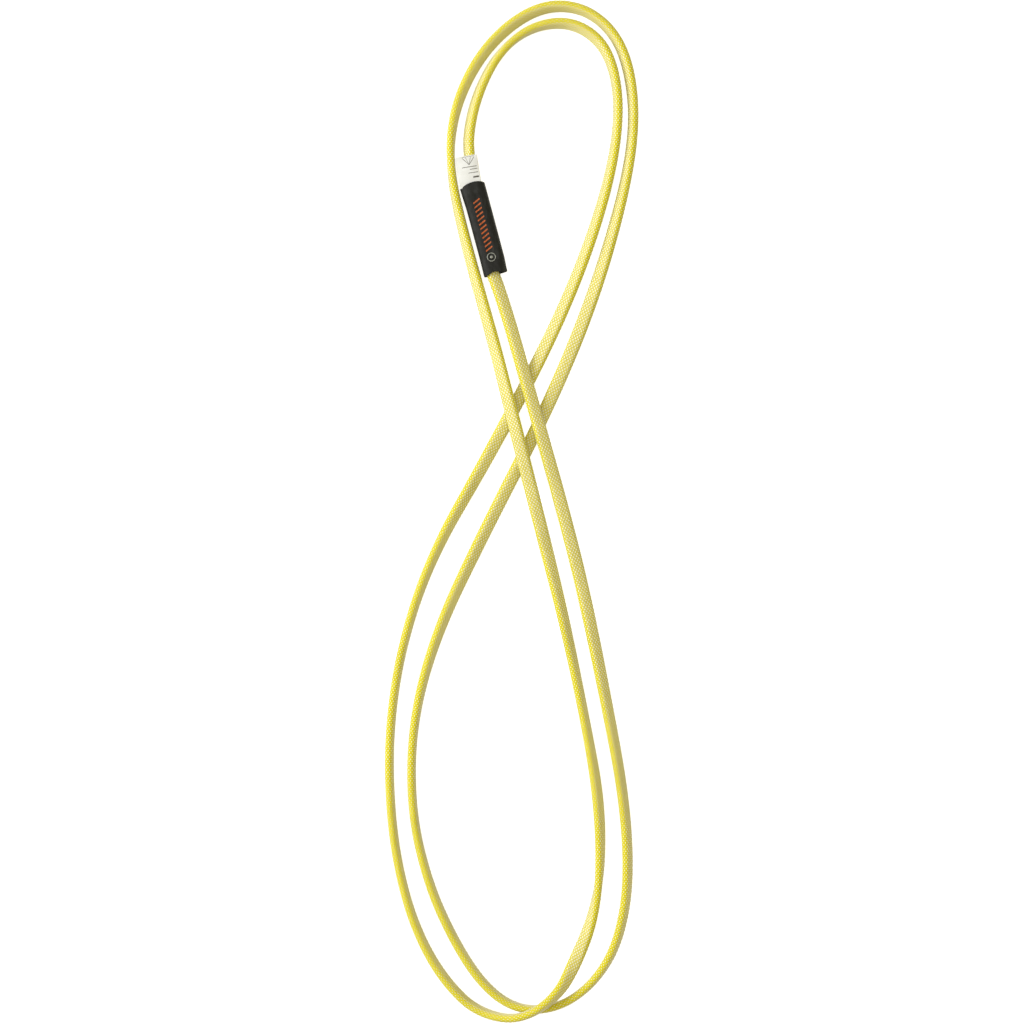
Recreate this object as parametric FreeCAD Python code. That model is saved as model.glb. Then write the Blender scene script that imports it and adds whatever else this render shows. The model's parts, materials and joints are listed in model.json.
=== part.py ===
"""Sewn endless cord sling: a closed loop of braided cord, its sewn joint, a sleeve and a label.

The sling lies on a surface as a slim figure of eight, passed round twice, and every size is
in millimetres.  The surface is Z = 0, the sling's length runs along Y, and the origin is under
the middle of its outline.  The two ends of the cord lie side by side in the sleeve, where a
zigzag seam joins them.  The sleeve can be pushed down the cord to look at the seam, and the
label's free tab lifts about the sleeve's upper mouth.
"""
import FreeCAD, Part

import math
import os

Vector = FreeCAD.Vector

# The cord.
CORD_DIAMETER = 5.9
SHEATH_WALL = 0.9
CORE_GAP = 0.05

# The joint: two laps of the cord side by side, inside the sleeve.
LAP_GAP = 0.1
END_RECESS = 8.0
SEAL_LENGTH = 1.5
SEAL_ROUNDING = 0.5

# The sleeve, placed by the middle of its lower mouth and its lean from the Y axis.
SLEEVE_LENGTH = 50.0
SLEEVE_WALL = 0.45
SLEEVE_GAP = 0.25
SLEEVE_RIM_ROUNDING = 0.15
SLEEVE_MOUTH_X = -8.1
SLEEVE_MOUTH_Y = 127.6
SLEEVE_LEAN_DEG = 15.0
SLEEVE_TRAVEL = 20.0

# The seam: a needle thread over the laps and a bobbin thread under them.
THREAD_DIAMETER = 0.5
KNOT_DIAMETER = 0.6
THREAD_BITE = 0.3
STITCH_ADVANCE = 1.35
SEAM_END_MARGIN = 2.0

# The label: a strip sewn in under the sleeve, and the tab that shows.
LABEL_THICKNESS = 0.25
LABEL_WIDTH = 12.0
LABEL_SHOWING = 16.5
LABEL_LEAN_DEG = 6.0
LABEL_TUCK = 18.0
LABEL_TUCK_WIDTH = 9.2
LABEL_TO_LAP_GAP = 0.1
LABEL_FOLD_OUT = 1.0
LABEL_FOLD_GAP = 0.3
LABEL_TO_STRAND_GAP = 0.3

# The free cord's way round the loop.
CORD_REST_Z = CORD_DIAMETER / 2
CROSSING_CLEARANCE = CORD_DIAMETER
HUMP_Z = CORD_REST_Z + CORD_DIAMETER + CROSSING_CLEARANCE
ARC_SHARE = 0.45
STRAIGHT_BEYOND_TRAVEL = 8.0

# Sizes that follow from those above.
CORD_RADIUS = CORD_DIAMETER / 2
THREAD_RADIUS = THREAD_DIAMETER / 2
KNOT_RADIUS = KNOT_DIAMETER / 2
THREAD_PROUD = THREAD_DIAMETER - THREAD_BITE
LAP_OFFSET = (CORD_DIAMETER + LAP_GAP) / 2
LAP_Z = SLEEVE_WALL + SLEEVE_GAP + THREAD_PROUD + CORD_RADIUS
LAP_TOP_Z = LAP_Z + CORD_RADIUS
LAP_BOTTOM_Z = LAP_Z - CORD_RADIUS
TUCK_BOTTOM_Z = LAP_TOP_Z + LABEL_TO_LAP_GAP
TUCK_TOP_Z = TUCK_BOTTOM_Z + LABEL_THICKNESS
BORE_WIDTH = 2 * CORD_DIAMETER + LAP_GAP + 2 * SLEEVE_GAP
BORE_BOTTOM_Z = SLEEVE_WALL
BORE_TOP_Z = TUCK_TOP_Z + THREAD_PROUD + SLEEVE_GAP
BORE_HEIGHT = BORE_TOP_Z - BORE_BOTTOM_Z
LOWER_STATION = 0.0
UPPER_STATION = SLEEVE_LENGTH
LOWER_SEAL_STATION = LOWER_STATION + END_RECESS
UPPER_SEAL_STATION = UPPER_STATION - END_RECESS
LOWER_CUT_STATION = LOWER_SEAL_STATION + SEAL_LENGTH
UPPER_CUT_STATION = UPPER_SEAL_STATION - SEAL_LENGTH

# The route of the free cord, from the sleeve's lower mouth round to its upper mouth.  Each
# place is (x, y), and the strand is on the surface unless a height is given.
ROUTE = [
    # Down over the two strands below, in one long hump.
    (4.9, 80.4, HUMP_Z),
    (19.2, 30.3, HUMP_Z),
    (26.0, 6.5),
    # The lower lobe's outer right side.
    (37.7, -38.3),
    (49.8, -96.2),
    (60.8, -154.5),
    (63.2, -199.0),
    (57.9, -229.4),
    (47.8, -248.8),
    (33.2, -262.4),
    # The bottom, under the other pass, and up the inner left side.
    (16.8, -268.2),
    (-0.4, -266.0),
    (-15.8, -253.8),
    (-30.3, -231.8),
    (-44.6, -200.6),
    (-54.0, -160.7),
    (-53.3, -113.0),
    (-40.4, -65.1),
    # The straight stretch under both strands above.
    (-14.9, -10.5),
    (17.6, 53.6),
    (42.6, 113.0),
    # The upper lobe's outer arch.
    (60.3, 169.7),
    (66.4, 208.0),
    (63.4, 238.2),
    (54.8, 258.2),
    (39.0, 270.5),
    (19.4, 272.2),
    (-0.2, 262.4),
    (-18.4, 243.1),
    (-31.1, 215.4),
    (-33.7, 185.0),
    # Beside the sleeve, then over the two strands below.
    (-25.0, 145.3),
    (-10.2, 93.2),
    (-3.6, 67.2, HUMP_Z),
    (10.0, 14.0, HUMP_Z),
    (16.6, -12.0),
    # The lower lobe's inner right side.
    (28.7, -59.9),
    (40.3, -115.8),
    (47.1, -155.2),
    (48.1, -192.7),
    (43.6, -219.4),
    (34.7, -241.5),
    # Over the other pass at the bottom, and up the outer left side.
    (24.9, -259.0, HUMP_Z),
    (4.8, -272.3, HUMP_Z),
    (-17.7, -269.3),
    (-33.2, -255.3),
    (-46.8, -234.6),
    (-57.6, -206.4),
    (-64.9, -167.0),
    (-66.1, -118.6),
    (-58.8, -70.4),
    (-42.4, -22.6),
    # The straight stretch under both strands above.
    (-13.9, 27.0),
    (18.9, 88.5),
    # The upper lobe's inner arch.
    (39.4, 135.9),
    (53.0, 179.0),
    (58.1, 213.2),
    (55.2, 238.3),
    (46.5, 254.7),
    (29.5, 263.6),
    (8.8, 259.6),
    (-8.1, 245.8),
    (-18.9, 224.6),
    (-23.3, 203.0),
]
UPPER_LEAD_IN = 12.0


def sleeve_axis():
    """Unit vector along the sleeve, from its lower mouth to its upper one."""
    lean = math.radians(SLEEVE_LEAN_DEG)
    return Vector(-math.sin(lean), math.cos(lean), 0)


def sleeve_across():
    """Unit vector across the sleeve, to the side of the cord's upper strand."""
    lean = math.radians(SLEEVE_LEAN_DEG)
    return Vector(math.cos(lean), math.sin(lean), 0)


def in_sleeve(station, across, height):
    """Point at a distance along the sleeve from its lower mouth, an offset and a height."""
    mouth = Vector(SLEEVE_MOUTH_X, SLEEVE_MOUTH_Y, 0)
    return mouth + sleeve_axis() * station + sleeve_across() * across + Vector(0, 0, height)


def sleeve_placement(station, height):
    """Placement whose X runs across the sleeve, Y up off the surface, and Z down its length."""
    turn = FreeCAD.Rotation(sleeve_across(), Vector(0, 0, 1), sleeve_axis() * -1, "XYZ")
    return FreeCAD.Placement(in_sleeve(station, 0, height), turn)


def cord_points():
    """Corner points of the whole cord, from its cut end in the lower lap to the other end."""
    straight_end = -(SLEEVE_TRAVEL + STRAIGHT_BEYOND_TRAVEL)
    first = in_sleeve(UPPER_CUT_STATION, -LAP_OFFSET, LAP_Z)
    leaving = in_sleeve(straight_end, -LAP_OFFSET, LAP_Z)
    arriving = in_sleeve(UPPER_STATION + UPPER_LEAD_IN, LAP_OFFSET, LAP_Z)
    last = in_sleeve(LOWER_CUT_STATION, LAP_OFFSET, LAP_Z)
    free = [Vector(*place) if len(place) == 3 else Vector(*place, CORD_REST_Z) for place in ROUTE]
    return [first, leaving] + free + [arriving, last]


def rounded_path(points):
    """Wire of straight runs joined by tangent arcs as large as the runs allow, and its radii."""
    edges = []
    radii = []
    start = points[0]
    for before, corner, after in zip(points, points[1:], points[2:]):
        arriving = (corner - before).normalize()
        leaving = (after - corner).normalize()
        half_turn = arriving.getAngle(leaving) / 2
        reach = ARC_SHARE * min((corner - before).Length, (after - corner).Length)
        radius = reach / math.tan(half_turn)
        towards_centre = (leaving - arriving).normalize()
        arc_start = corner - arriving * reach
        arc_end = corner + leaving * reach
        arc_middle = corner + towards_centre * (radius / math.cos(half_turn) - radius)
        edges.append(Part.LineSegment(start, arc_start).toShape())
        edges.append(Part.Arc(arc_start, arc_middle, arc_end).toShape())
        radii.append(radius)
        start = arc_end
    edges.append(Part.LineSegment(start, points[-1]).toShape())
    return Part.Wire(edges), radii


def swept_disc(path, points, radius):
    """Solid of a round section swept along a path that starts with its first run."""
    direction = points[1] - points[0]
    disc = Part.Face(Part.Wire(Part.makeCircle(radius, points[0], direction)))
    return path.makePipe(disc)


def cord():
    """Braided sheath and the core inside it, along the whole length of the cord."""
    points = cord_points()
    path, radii = rounded_path(points)
    outside = swept_disc(path, points, CORD_RADIUS)
    hollow = swept_disc(path, points, CORD_RADIUS - SHEATH_WALL)
    sheath = outside.cut(hollow)
    core = swept_disc(path, points, CORD_RADIUS - SHEATH_WALL - CORE_GAP)
    section = math.pi * CORD_RADIUS ** 2
    print("cord length %.1f mm" % path.Length)
    print("tube volume over section times length %.4f" % (outside.Volume / (section * path.Length)))
    print("arc radii from %.1f mm:" % min(radii), " ".join("%.0f" % radius for radius in radii))
    return sheath, core


def end_seal(cut_station, across, towards_tip):
    """Melted plug that closes a cut end, rounded at its tip."""
    base = in_sleeve(cut_station, across, LAP_Z)
    plug = Part.makeCylinder(CORD_RADIUS, SEAL_LENGTH, base, towards_tip)
    tip = base + towards_tip * SEAL_LENGTH
    rims = [edge for edge in plug.Edges if edge.BoundBox.Center.distanceToPoint(tip) < SEAL_ROUNDING]
    return plug.makeFillet(SEAL_ROUNDING, rims)


def stadium(width, height):
    """Flat face in the XY plane with straight top and bottom and half-round ends."""
    end_radius = height / 2
    straight = width / 2 - end_radius
    top_left = Vector(-straight, end_radius, 0)
    top_right = Vector(straight, end_radius, 0)
    bottom_right = Vector(straight, -end_radius, 0)
    bottom_left = Vector(-straight, -end_radius, 0)
    edges = [
        Part.LineSegment(top_left, top_right).toShape(),
        Part.Arc(top_right, Vector(width / 2, 0, 0), bottom_right).toShape(),
        Part.LineSegment(bottom_right, bottom_left).toShape(),
        Part.Arc(bottom_left, Vector(-width / 2, 0, 0), top_left).toShape(),
    ]
    return Part.Face(Part.Wire(edges))


def stadium_bar(width, bottom_z, top_z, low_station, high_station):
    """Solid bar of stadium section along the sleeve's line, between two heights and stations."""
    bar = stadium(width, top_z - bottom_z).extrude(Vector(0, 0, high_station - low_station))
    bar.Placement = sleeve_placement(high_station, (bottom_z + top_z) / 2)
    return bar


def sleeve():
    """Protective tube round both laps, with eased rims at its mouths."""
    outer_width = BORE_WIDTH + 2 * SLEEVE_WALL
    outer_top = BORE_TOP_Z + SLEEVE_WALL
    outer = stadium_bar(outer_width, 0.0, outer_top, LOWER_STATION, UPPER_STATION)
    rims = []
    for edge in outer.Edges:
        along = (edge.Vertexes[-1].Point - edge.Vertexes[0].Point).dot(sleeve_axis())
        if abs(along) < SLEEVE_LENGTH / 2:
            rims.append(edge)
    outer = outer.makeFillet(SLEEVE_RIM_ROUNDING, rims)
    bore = stadium_bar(
        BORE_WIDTH,
        BORE_BOTTOM_Z,
        BORE_TOP_Z,
        LOWER_STATION - SLEEVE_WALL,
        UPPER_STATION + SLEEVE_WALL,
    )
    return outer.cut(bore)


def thread_between(start, end):
    """Straight piece of thread, whose ends are inside the knots it runs between."""
    return Part.makeCylinder(THREAD_RADIUS, (end - start).Length, start, end - start)


def stitch_stations():
    """Stations of the needle's holes, which change lap from one to the next."""
    low = LOWER_CUT_STATION + SEAM_END_MARGIN
    high = UPPER_CUT_STATION - SEAM_END_MARGIN
    count = int((high - low) / STITCH_ADVANCE)
    return [low + step * STITCH_ADVANCE for step in range(count + 1)]


def seam_thread(face_z, lock_z, tucked_z):
    """Zigzag thread on one face of the laps, with a knot and a leg down to the lock at each hole.

    Where the label's strip is, the thread lies on the strip instead of the laps, at tucked_z.
    """
    pieces = []
    previous = None
    for step, station in enumerate(stitch_stations()):
        under_label = station > UPPER_STATION - LABEL_TUCK
        height = tucked_z if under_label else face_z
        across = LAP_OFFSET if step % 2 else -LAP_OFFSET
        hole = in_sleeve(station, across, height)
        pieces.append(Part.makeSphere(KNOT_RADIUS, hole))
        pieces.append(thread_between(hole, in_sleeve(station, across, lock_z)))
        if previous is not None:
            pieces.append(thread_between(previous, hole))
        previous = hole
    return pieces[0].fuse(pieces[1:]).removeSplitter()


def seam():
    """Needle thread over the laps and bobbin thread under them, meeting in the cord."""
    needle_z = LAP_TOP_Z + THREAD_PROUD - THREAD_RADIUS
    tucked_z = TUCK_TOP_Z + THREAD_PROUD - THREAD_RADIUS
    bobbin_z = LAP_BOTTOM_Z - THREAD_PROUD + THREAD_RADIUS
    needle = seam_thread(needle_z, LAP_Z, tucked_z)
    bobbin = seam_thread(bobbin_z, LAP_Z, bobbin_z)
    return needle, bobbin


def label_tuck():
    """Strip of the label that lies over both laps, under the sleeve."""
    low = UPPER_STATION - LABEL_TUCK
    high = UPPER_STATION + LABEL_FOLD_OUT - LABEL_FOLD_GAP / 2
    over_laps = 2 * LAP_OFFSET + CORD_DIAMETER
    inside_drop = LABEL_TO_LAP_GAP
    outside_drop = LABEL_TO_LAP_GAP + LABEL_THICKNESS
    outside = stadium_bar(
        over_laps + 2 * outside_drop,
        LAP_BOTTOM_Z - outside_drop,
        TUCK_TOP_Z,
        low,
        high,
    )
    inside = stadium_bar(
        over_laps + 2 * inside_drop,
        LAP_BOTTOM_Z - inside_drop,
        TUCK_BOTTOM_Z,
        low - 1,
        high + 1,
    )
    keep = Part.makeBox(LABEL_TUCK_WIDTH, CORD_DIAMETER, high - low)
    keep.Placement = sleeve_placement(high, LAP_Z)
    keep.translate(sleeve_across() * (-LABEL_TUCK_WIDTH / 2))
    return outside.cut(inside).common(keep)


def label_tab():
    """The label's free tab, which leans a little from the sleeve's line."""
    fold_station = UPPER_STATION + LABEL_FOLD_OUT
    length = LABEL_SHOWING - LABEL_FOLD_OUT
    bottom_z = LAP_TOP_Z + LABEL_TO_STRAND_GAP
    tab = Part.makeBox(LABEL_WIDTH, 2 * length, LABEL_THICKNESS)
    tab.translate(Vector(-LABEL_WIDTH / 2, -length, bottom_z))
    lean = SLEEVE_LEAN_DEG - LABEL_LEAN_DEG
    tab.rotate(Vector(0, 0, 0), Vector(0, 0, 1), lean)
    tab.translate(in_sleeve(fold_station, 0, 0))
    below_fold = Part.makeBox(4 * LABEL_WIDTH, 4 * LABEL_SHOWING, 4 * LABEL_WIDTH)
    below_fold.Placement = FreeCAD.Placement(
        in_sleeve(fold_station + LABEL_FOLD_GAP / 2 - 4 * LABEL_SHOWING, -2 * LABEL_WIDTH, 0),
        FreeCAD.Rotation(Vector(0, 0, 1), SLEEVE_LEAN_DEG),
    )
    return tab.cut(below_fold)


def build():
    """Every sub-part of the sling by its name."""
    sheath, core = cord()
    needle, bobbin = seam()
    return {
        "cord_sheath": sheath,
        "cord_core": core,
        "lower_end_seal": end_seal(LOWER_CUT_STATION, LAP_OFFSET, sleeve_axis() * -1),
        "upper_end_seal": end_seal(UPPER_CUT_STATION, -LAP_OFFSET, sleeve_axis()),
        "needle_thread": needle,
        "bobbin_thread": bobbin,
        "sleeve": sleeve(),
        "label_tuck": label_tuck(),
        "label_tab": label_tab(),
    }


os.makedirs("parts", exist_ok=True)
for name, shape in build().items():
    shape.exportStep("parts/%s.step" % name)
    box = shape.optimalBoundingBox(False)
    print("%s: valid %s, %d solid, %.1f mm3" % (name, shape.isValid(), len(shape.Solids), shape.Volume))
    print("    x %.2f..%.2f" % (box.XMin, box.XMax), end="")
    print("  y %.2f..%.2f  z %.2f..%.2f" % (box.YMin, box.YMax, box.ZMin, box.ZMax))
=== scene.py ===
"""Looks of a sewn endless cord sling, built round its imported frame.

The sling is one length of braided cord laid out flat as a slim figure of eight that is passed
round twice.  Its two ends lie side by side in a black rubber sleeve, where a zigzag seam joins
them, and a white tape label is caught under the seam.  Every object is in metres, in the
frame's own place, and each sub-assembly is a class that builds and dresses its own pieces.
"""

import json
import logging
import math
from dataclasses import dataclass
from enum import Enum
from typing import Mapping, NamedTuple, Optional, Sequence, Union

import bpy
import numpy as np
from mathutils import Matrix, Vector

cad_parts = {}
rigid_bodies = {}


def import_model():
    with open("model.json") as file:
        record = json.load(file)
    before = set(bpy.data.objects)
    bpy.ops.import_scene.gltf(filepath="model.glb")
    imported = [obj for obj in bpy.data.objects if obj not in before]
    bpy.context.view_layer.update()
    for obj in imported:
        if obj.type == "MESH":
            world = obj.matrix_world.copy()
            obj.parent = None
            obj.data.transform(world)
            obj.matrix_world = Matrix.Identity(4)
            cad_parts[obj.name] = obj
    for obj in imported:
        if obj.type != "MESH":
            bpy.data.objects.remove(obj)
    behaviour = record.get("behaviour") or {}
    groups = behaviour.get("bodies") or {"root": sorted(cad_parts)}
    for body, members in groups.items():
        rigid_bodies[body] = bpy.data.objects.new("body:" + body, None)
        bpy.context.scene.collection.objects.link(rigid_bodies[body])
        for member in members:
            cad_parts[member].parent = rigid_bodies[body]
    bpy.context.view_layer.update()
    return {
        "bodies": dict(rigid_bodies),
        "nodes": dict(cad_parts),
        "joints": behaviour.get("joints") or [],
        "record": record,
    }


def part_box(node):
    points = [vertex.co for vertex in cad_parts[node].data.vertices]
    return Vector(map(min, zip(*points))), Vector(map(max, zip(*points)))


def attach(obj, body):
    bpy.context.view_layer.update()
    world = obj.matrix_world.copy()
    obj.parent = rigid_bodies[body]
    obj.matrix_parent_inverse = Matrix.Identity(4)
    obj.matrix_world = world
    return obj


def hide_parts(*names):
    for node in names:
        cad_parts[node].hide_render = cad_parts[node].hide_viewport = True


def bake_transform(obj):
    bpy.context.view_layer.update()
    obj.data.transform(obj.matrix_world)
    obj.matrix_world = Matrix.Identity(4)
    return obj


LOG = logging.getLogger("sling")
MM = 0.001
SLEEVE_LENGTH = 50.0
PRINT_FROM = 20.0

Colour = tuple[float, float, float]
Socket = bpy.types.NodeSocket
Material = bpy.types.Material
Tree = bpy.types.NodeTree
Piece = bpy.types.Object
Feed = Union[float, int, bool, str, Sequence[float], Socket, bpy.types.ID]


# --------------------------------------------------------------------------------------
# Node trees
# --------------------------------------------------------------------------------------


class Kind(Enum):
    """Socket types of a node group's interface."""

    NUMBER = "NodeSocketFloat"
    COUNT = "NodeSocketInt"
    VECTOR = "NodeSocketVector"
    OBJECT = "NodeSocketObject"
    MATERIAL = "NodeSocketMaterial"
    GEOMETRY = "NodeSocketGeometry"


class Graph:
    """A node tree under construction, whose inputs take numbers or other nodes' sockets."""

    def __init__(self, tree: Tree) -> None:
        """Wraps a tree.

        Args:
            tree: The tree that the nodes are added to.
        """
        self.tree = tree

    def add(
        self, kind: str, feeds: Optional[Mapping[Union[str, int], Feed]] = None, **settings: object
    ) -> bpy.types.Node:
        """Adds one node.

        Args:
            kind: The node's type name.
            feeds: Values or sockets for its inputs, by name or number.
            **settings: Values for the node's own properties.

        Returns:
            The new node.
        """
        node = self.tree.nodes.new(kind)
        for name, value in settings.items():
            setattr(node, name, value)
        for key, value in (feeds or {}).items():
            self.feed(node.inputs[key], value)
        return node

    def feed(self, socket: Socket, value: Feed) -> None:
        """Links a socket to an input, or sets the input's value.

        Args:
            socket: The input.
            value: A socket to link, or a plain value.
        """
        if isinstance(value, Socket):
            self.tree.links.new(value, socket)
        else:
            socket.default_value = value

    def maths(self, operation: str, *values: Feed, clamp: bool = False) -> Socket:
        """Adds a Math node.

        Args:
            operation: The Math node's operation.
            *values: Its one to three inputs.
            clamp: Whether the result is kept within 0 and 1.

        Returns:
            Its output.
        """
        feeds = dict(enumerate(values))
        return self.add("ShaderNodeMath", feeds, operation=operation, use_clamp=clamp).outputs[0]

    def vector(self, operation: str, *values: Feed) -> Socket:
        """Adds a Vector Math node.

        Args:
            operation: The node's operation.
            *values: Its inputs; the second one of SCALE is a number.

        Returns:
            Its vector output, or its number output for a length or a dot product.
        """
        node = self.add("ShaderNodeVectorMath", operation=operation)
        slots = [0, 3] if operation == "SCALE" else range(len(values))
        for slot, value in zip(slots, values):
            self.feed(node.inputs[slot], value)
        return node.outputs[1 if operation in ("LENGTH", "DOT_PRODUCT") else 0]

    def times(self, first: Feed, second: Feed) -> Socket:
        """Multiplies two numbers."""
        return self.maths("MULTIPLY", first, second)

    def minus(self, first: Feed, second: Feed) -> Socket:
        """Takes the second number from the first."""
        return self.maths("SUBTRACT", first, second)

    def scaled(self, vector: Feed, number: Feed) -> Socket:
        """Multiplies a vector by a number."""
        return self.vector("SCALE", vector, number)

    def geometry(
        self, kind: str, feeds: Optional[Mapping[Union[str, int], Feed]] = None, **settings: object
    ) -> Socket:
        """Adds a geometry node by the last part of its type name and gives its first output."""
        return self.add("GeometryNode" + kind, feeds, **settings).outputs[0]

    def join(self, parts: Mapping[int, Feed]) -> Socket:
        """Adds a Combine XYZ node from its numbered parts and gives its vector."""
        return self.add("ShaderNodeCombineXYZ", parts).outputs[0]

    def ramp(
        self, value: Feed, low: Feed, high: Feed, start: Feed = 0.0, end: Feed = 1.0
    ) -> Socket:
        """Eases a value from one range to another.

        Args:
            value: The value.
            low: Where the change starts.
            high: Where the change ends.
            start: The result up to low.
            end: The result from high on.

        Returns:
            The eased result.
        """
        feeds = {"Value": value, "From Min": low, "From Max": high, "To Min": start, "To Max": end}
        node = self.add("ShaderNodeMapRange", feeds, interpolation_type="SMOOTHSTEP")
        return node.outputs["Result"]

    def mix(self, factor: Feed, first: Feed, second: Feed, blend: str = "MIX") -> Socket:
        """Mixes two colours.

        Args:
            factor: The second colour's share.
            first: The first colour.
            second: The second colour.
            blend: The Mix node's blend type.

        Returns:
            The mixed colour.
        """
        node = self.add("ShaderNodeMix", {0: factor}, data_type="RGBA", blend_type=blend)
        self.feed(node.inputs[6], opaque(first))
        self.feed(node.inputs[7], opaque(second))
        return node.outputs[2]

    def noise(self, vector: Feed, scale: Feed, detail: float = 2.0) -> Socket:
        """Adds a Noise Texture and gives its value, from 0 to 1."""
        return self.add("ShaderNodeTexNoise", {"Vector": vector, "Scale": scale, "Detail": detail}).outputs[0]

    def split(self, vector: Feed) -> Sequence[Socket]:
        """Adds a Separate XYZ node and gives its three outputs."""
        return self.add("ShaderNodeSeparateXYZ", {0: vector}).outputs

    def place(self, group: Tree, feeds: Mapping[str, Feed]) -> bpy.types.Node:
        """Places a shader group.

        Args:
            group: The group.
            feeds: Values or sockets for its named inputs.

        Returns:
            The group's node.
        """
        node = self.tree.nodes.new("ShaderNodeGroup")
        node.node_tree = group
        for key, value in feeds.items():
            self.feed(node.inputs[key], value)
        return node


def opaque(colour: Feed) -> Feed:
    """Gives a three-part colour its alpha of 1, and leaves a socket as it is."""
    if isinstance(colour, Socket) or len(colour) == 4:
        return colour
    return (*colour, 1.0)


def new_group(
    name: str, tree_type: str, inputs: Mapping[str, Kind], outputs: Mapping[str, Kind]
) -> tuple[Graph, bpy.types.Node, bpy.types.Node]:
    """Starts a node group with a named interface.

    Args:
        name: The group's name.
        tree_type: ShaderNodeTree or GeometryNodeTree.
        inputs: Socket types by input name.
        outputs: Socket types by output name.

    Returns:
        The graph, its input node and its output node.
    """
    tree = bpy.data.node_groups.new(name, tree_type)
    for way, sockets in (("INPUT", inputs), ("OUTPUT", outputs)):
        for label, kind in sockets.items():
            tree.interface.new_socket(name=label, in_out=way, socket_type=kind.value)
    graph = Graph(tree)
    return graph, graph.add("NodeGroupInput"), graph.add("NodeGroupOutput")


def new_geometry(name: str, inputs: Mapping[str, Kind]) -> tuple[Graph, Mapping[str, Socket], bpy.types.Node]:
    """Starts a geometry tree that puts out one geometry.

    Args:
        name: The tree's name.
        inputs: Socket types by input name.

    Returns:
        The graph, its inputs by name and its output node.
    """
    graph, source, result = new_group(name, "GeometryNodeTree", inputs, {"Geometry": Kind.GEOMETRY})
    return graph, source.outputs, result


def finish_geometry(
    graph: Graph, result: bpy.types.Node, mesh: Feed, finish: Feed, smooth: bool = True
) -> None:
    """Ends a geometry tree: real points, smooth shading where wanted, and the material.

    Args:
        graph: The tree's graph.
        result: The tree's output node.
        mesh: The geometry.
        finish: The material's input.
        smooth: Whether the faces are shaded smooth.
    """
    mesh = graph.geometry("RealizeInstances", {0: mesh})
    if smooth:
        mesh = graph.geometry("SetShadeSmooth", {0: mesh})
    mesh = graph.geometry("SetMaterial", {"Geometry": mesh, "Material": finish})
    graph.feed(result.inputs["Geometry"], mesh)


def grow(name: str, tree: Tree, settings: Mapping[str, Feed]) -> Piece:
    """Runs a geometry tree on a new object and keeps the result as its plain mesh.

    Args:
        name: The new object's name.
        tree: The geometry tree.
        settings: Values for the tree's named inputs.

    Returns:
        The object, with no modifier left on it.
    """
    piece = bpy.data.objects.new(name, bpy.data.meshes.new(name))
    bpy.context.scene.collection.objects.link(piece)
    modifier = piece.modifiers.new("grow", "NODES")
    modifier.node_group = tree
    for item in tree.interface.items_tree:
        if item.in_out == "INPUT" and item.name in settings:
            modifier[item.identifier] = settings[item.name]
    bpy.context.view_layer.update()
    graph = bpy.context.evaluated_depsgraph_get()
    mesh = bpy.data.meshes.new_from_object(piece.evaluated_get(graph))
    piece.modifiers.clear()
    piece.data = mesh
    mesh.name = name
    return piece


# --------------------------------------------------------------------------------------
# Mesh helpers
# --------------------------------------------------------------------------------------


def eased(place: np.ndarray, knots: Sequence[float], values: Sequence[float]) -> np.ndarray:
    """Values that ease from one knot to the next, level at each knot.

    Args:
        place: Where the values are wanted.
        knots: Rising places.
        values: The value at each knot.

    Returns:
        One value for each place.
    """
    spots = np.clip(np.asarray(place, float), knots[0], knots[-1])
    low = np.clip(np.searchsorted(knots, spots, side="right") - 1, 0, len(knots) - 2)
    start = np.take(knots, low)
    share = (spots - start) / (np.take(knots, low + 1) - start)
    share = share * share * (3 - 2 * share)
    return np.take(values, low) * (1 - share) + np.take(values, low + 1) * share


def plain_mesh(name: str, points: np.ndarray, faces: Sequence[Sequence[int]]) -> Piece:
    """Links a new smooth-shaded mesh object.

    Args:
        name: The object's name.
        points: Its points, one row each, in metres.
        faces: Point numbers of each face, in order.

    Returns:
        The object.
    """
    mesh = bpy.data.meshes.new(name)
    mesh.from_pydata([tuple(p) for p in points], [], [tuple(f) for f in faces])
    mesh.polygons.foreach_set("use_smooth", [True] * len(mesh.polygons))
    mesh.update()
    piece = bpy.data.objects.new(name, mesh)
    bpy.context.scene.collection.objects.link(piece)
    return piece


def printed_points(
    under: Piece, places: Sequence[Vector], ink: float
) -> np.ndarray:
    """Lays a print straight down on a piece: its raised face's points, then its sunk face's.

    Args:
        under: The piece that the print lies on.
        places: The print's points, above the piece, in metres.
        ink: How far each face is from the piece's surface, in millimetres.

    Returns:
        Two points for each place, one row each.
    """
    bpy.context.view_layer.update()
    target = under.evaluated_get(bpy.context.evaluated_depsgraph_get())
    points = []
    for level in (ink, -ink):
        for place in places:
            _, spot, normal, _ = target.ray_cast(place, Vector((0.0, 0.0, -1.0)))
            points.append(tuple(spot + normal * (level * MM)))
    return np.array(points)


def closed_rings(rings: int, columns: int) -> list[tuple[int, int, int, int]]:
    """Faces of a skin whose rings follow one another and whose columns close round.

    Args:
        rings: How many rings of points there are.
        columns: How many points a ring has.

    Returns:
        Quads between each ring and the next.
    """
    faces = []
    for ring in range(rings - 1):
        for column in range(columns):
            after = (column + 1) % columns
            low, high = ring * columns, (ring + 1) * columns
            faces.append((low + column, low + after, high + after, high + column))
    return faces


# --------------------------------------------------------------------------------------
# The line of the sleeve
# --------------------------------------------------------------------------------------


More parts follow.
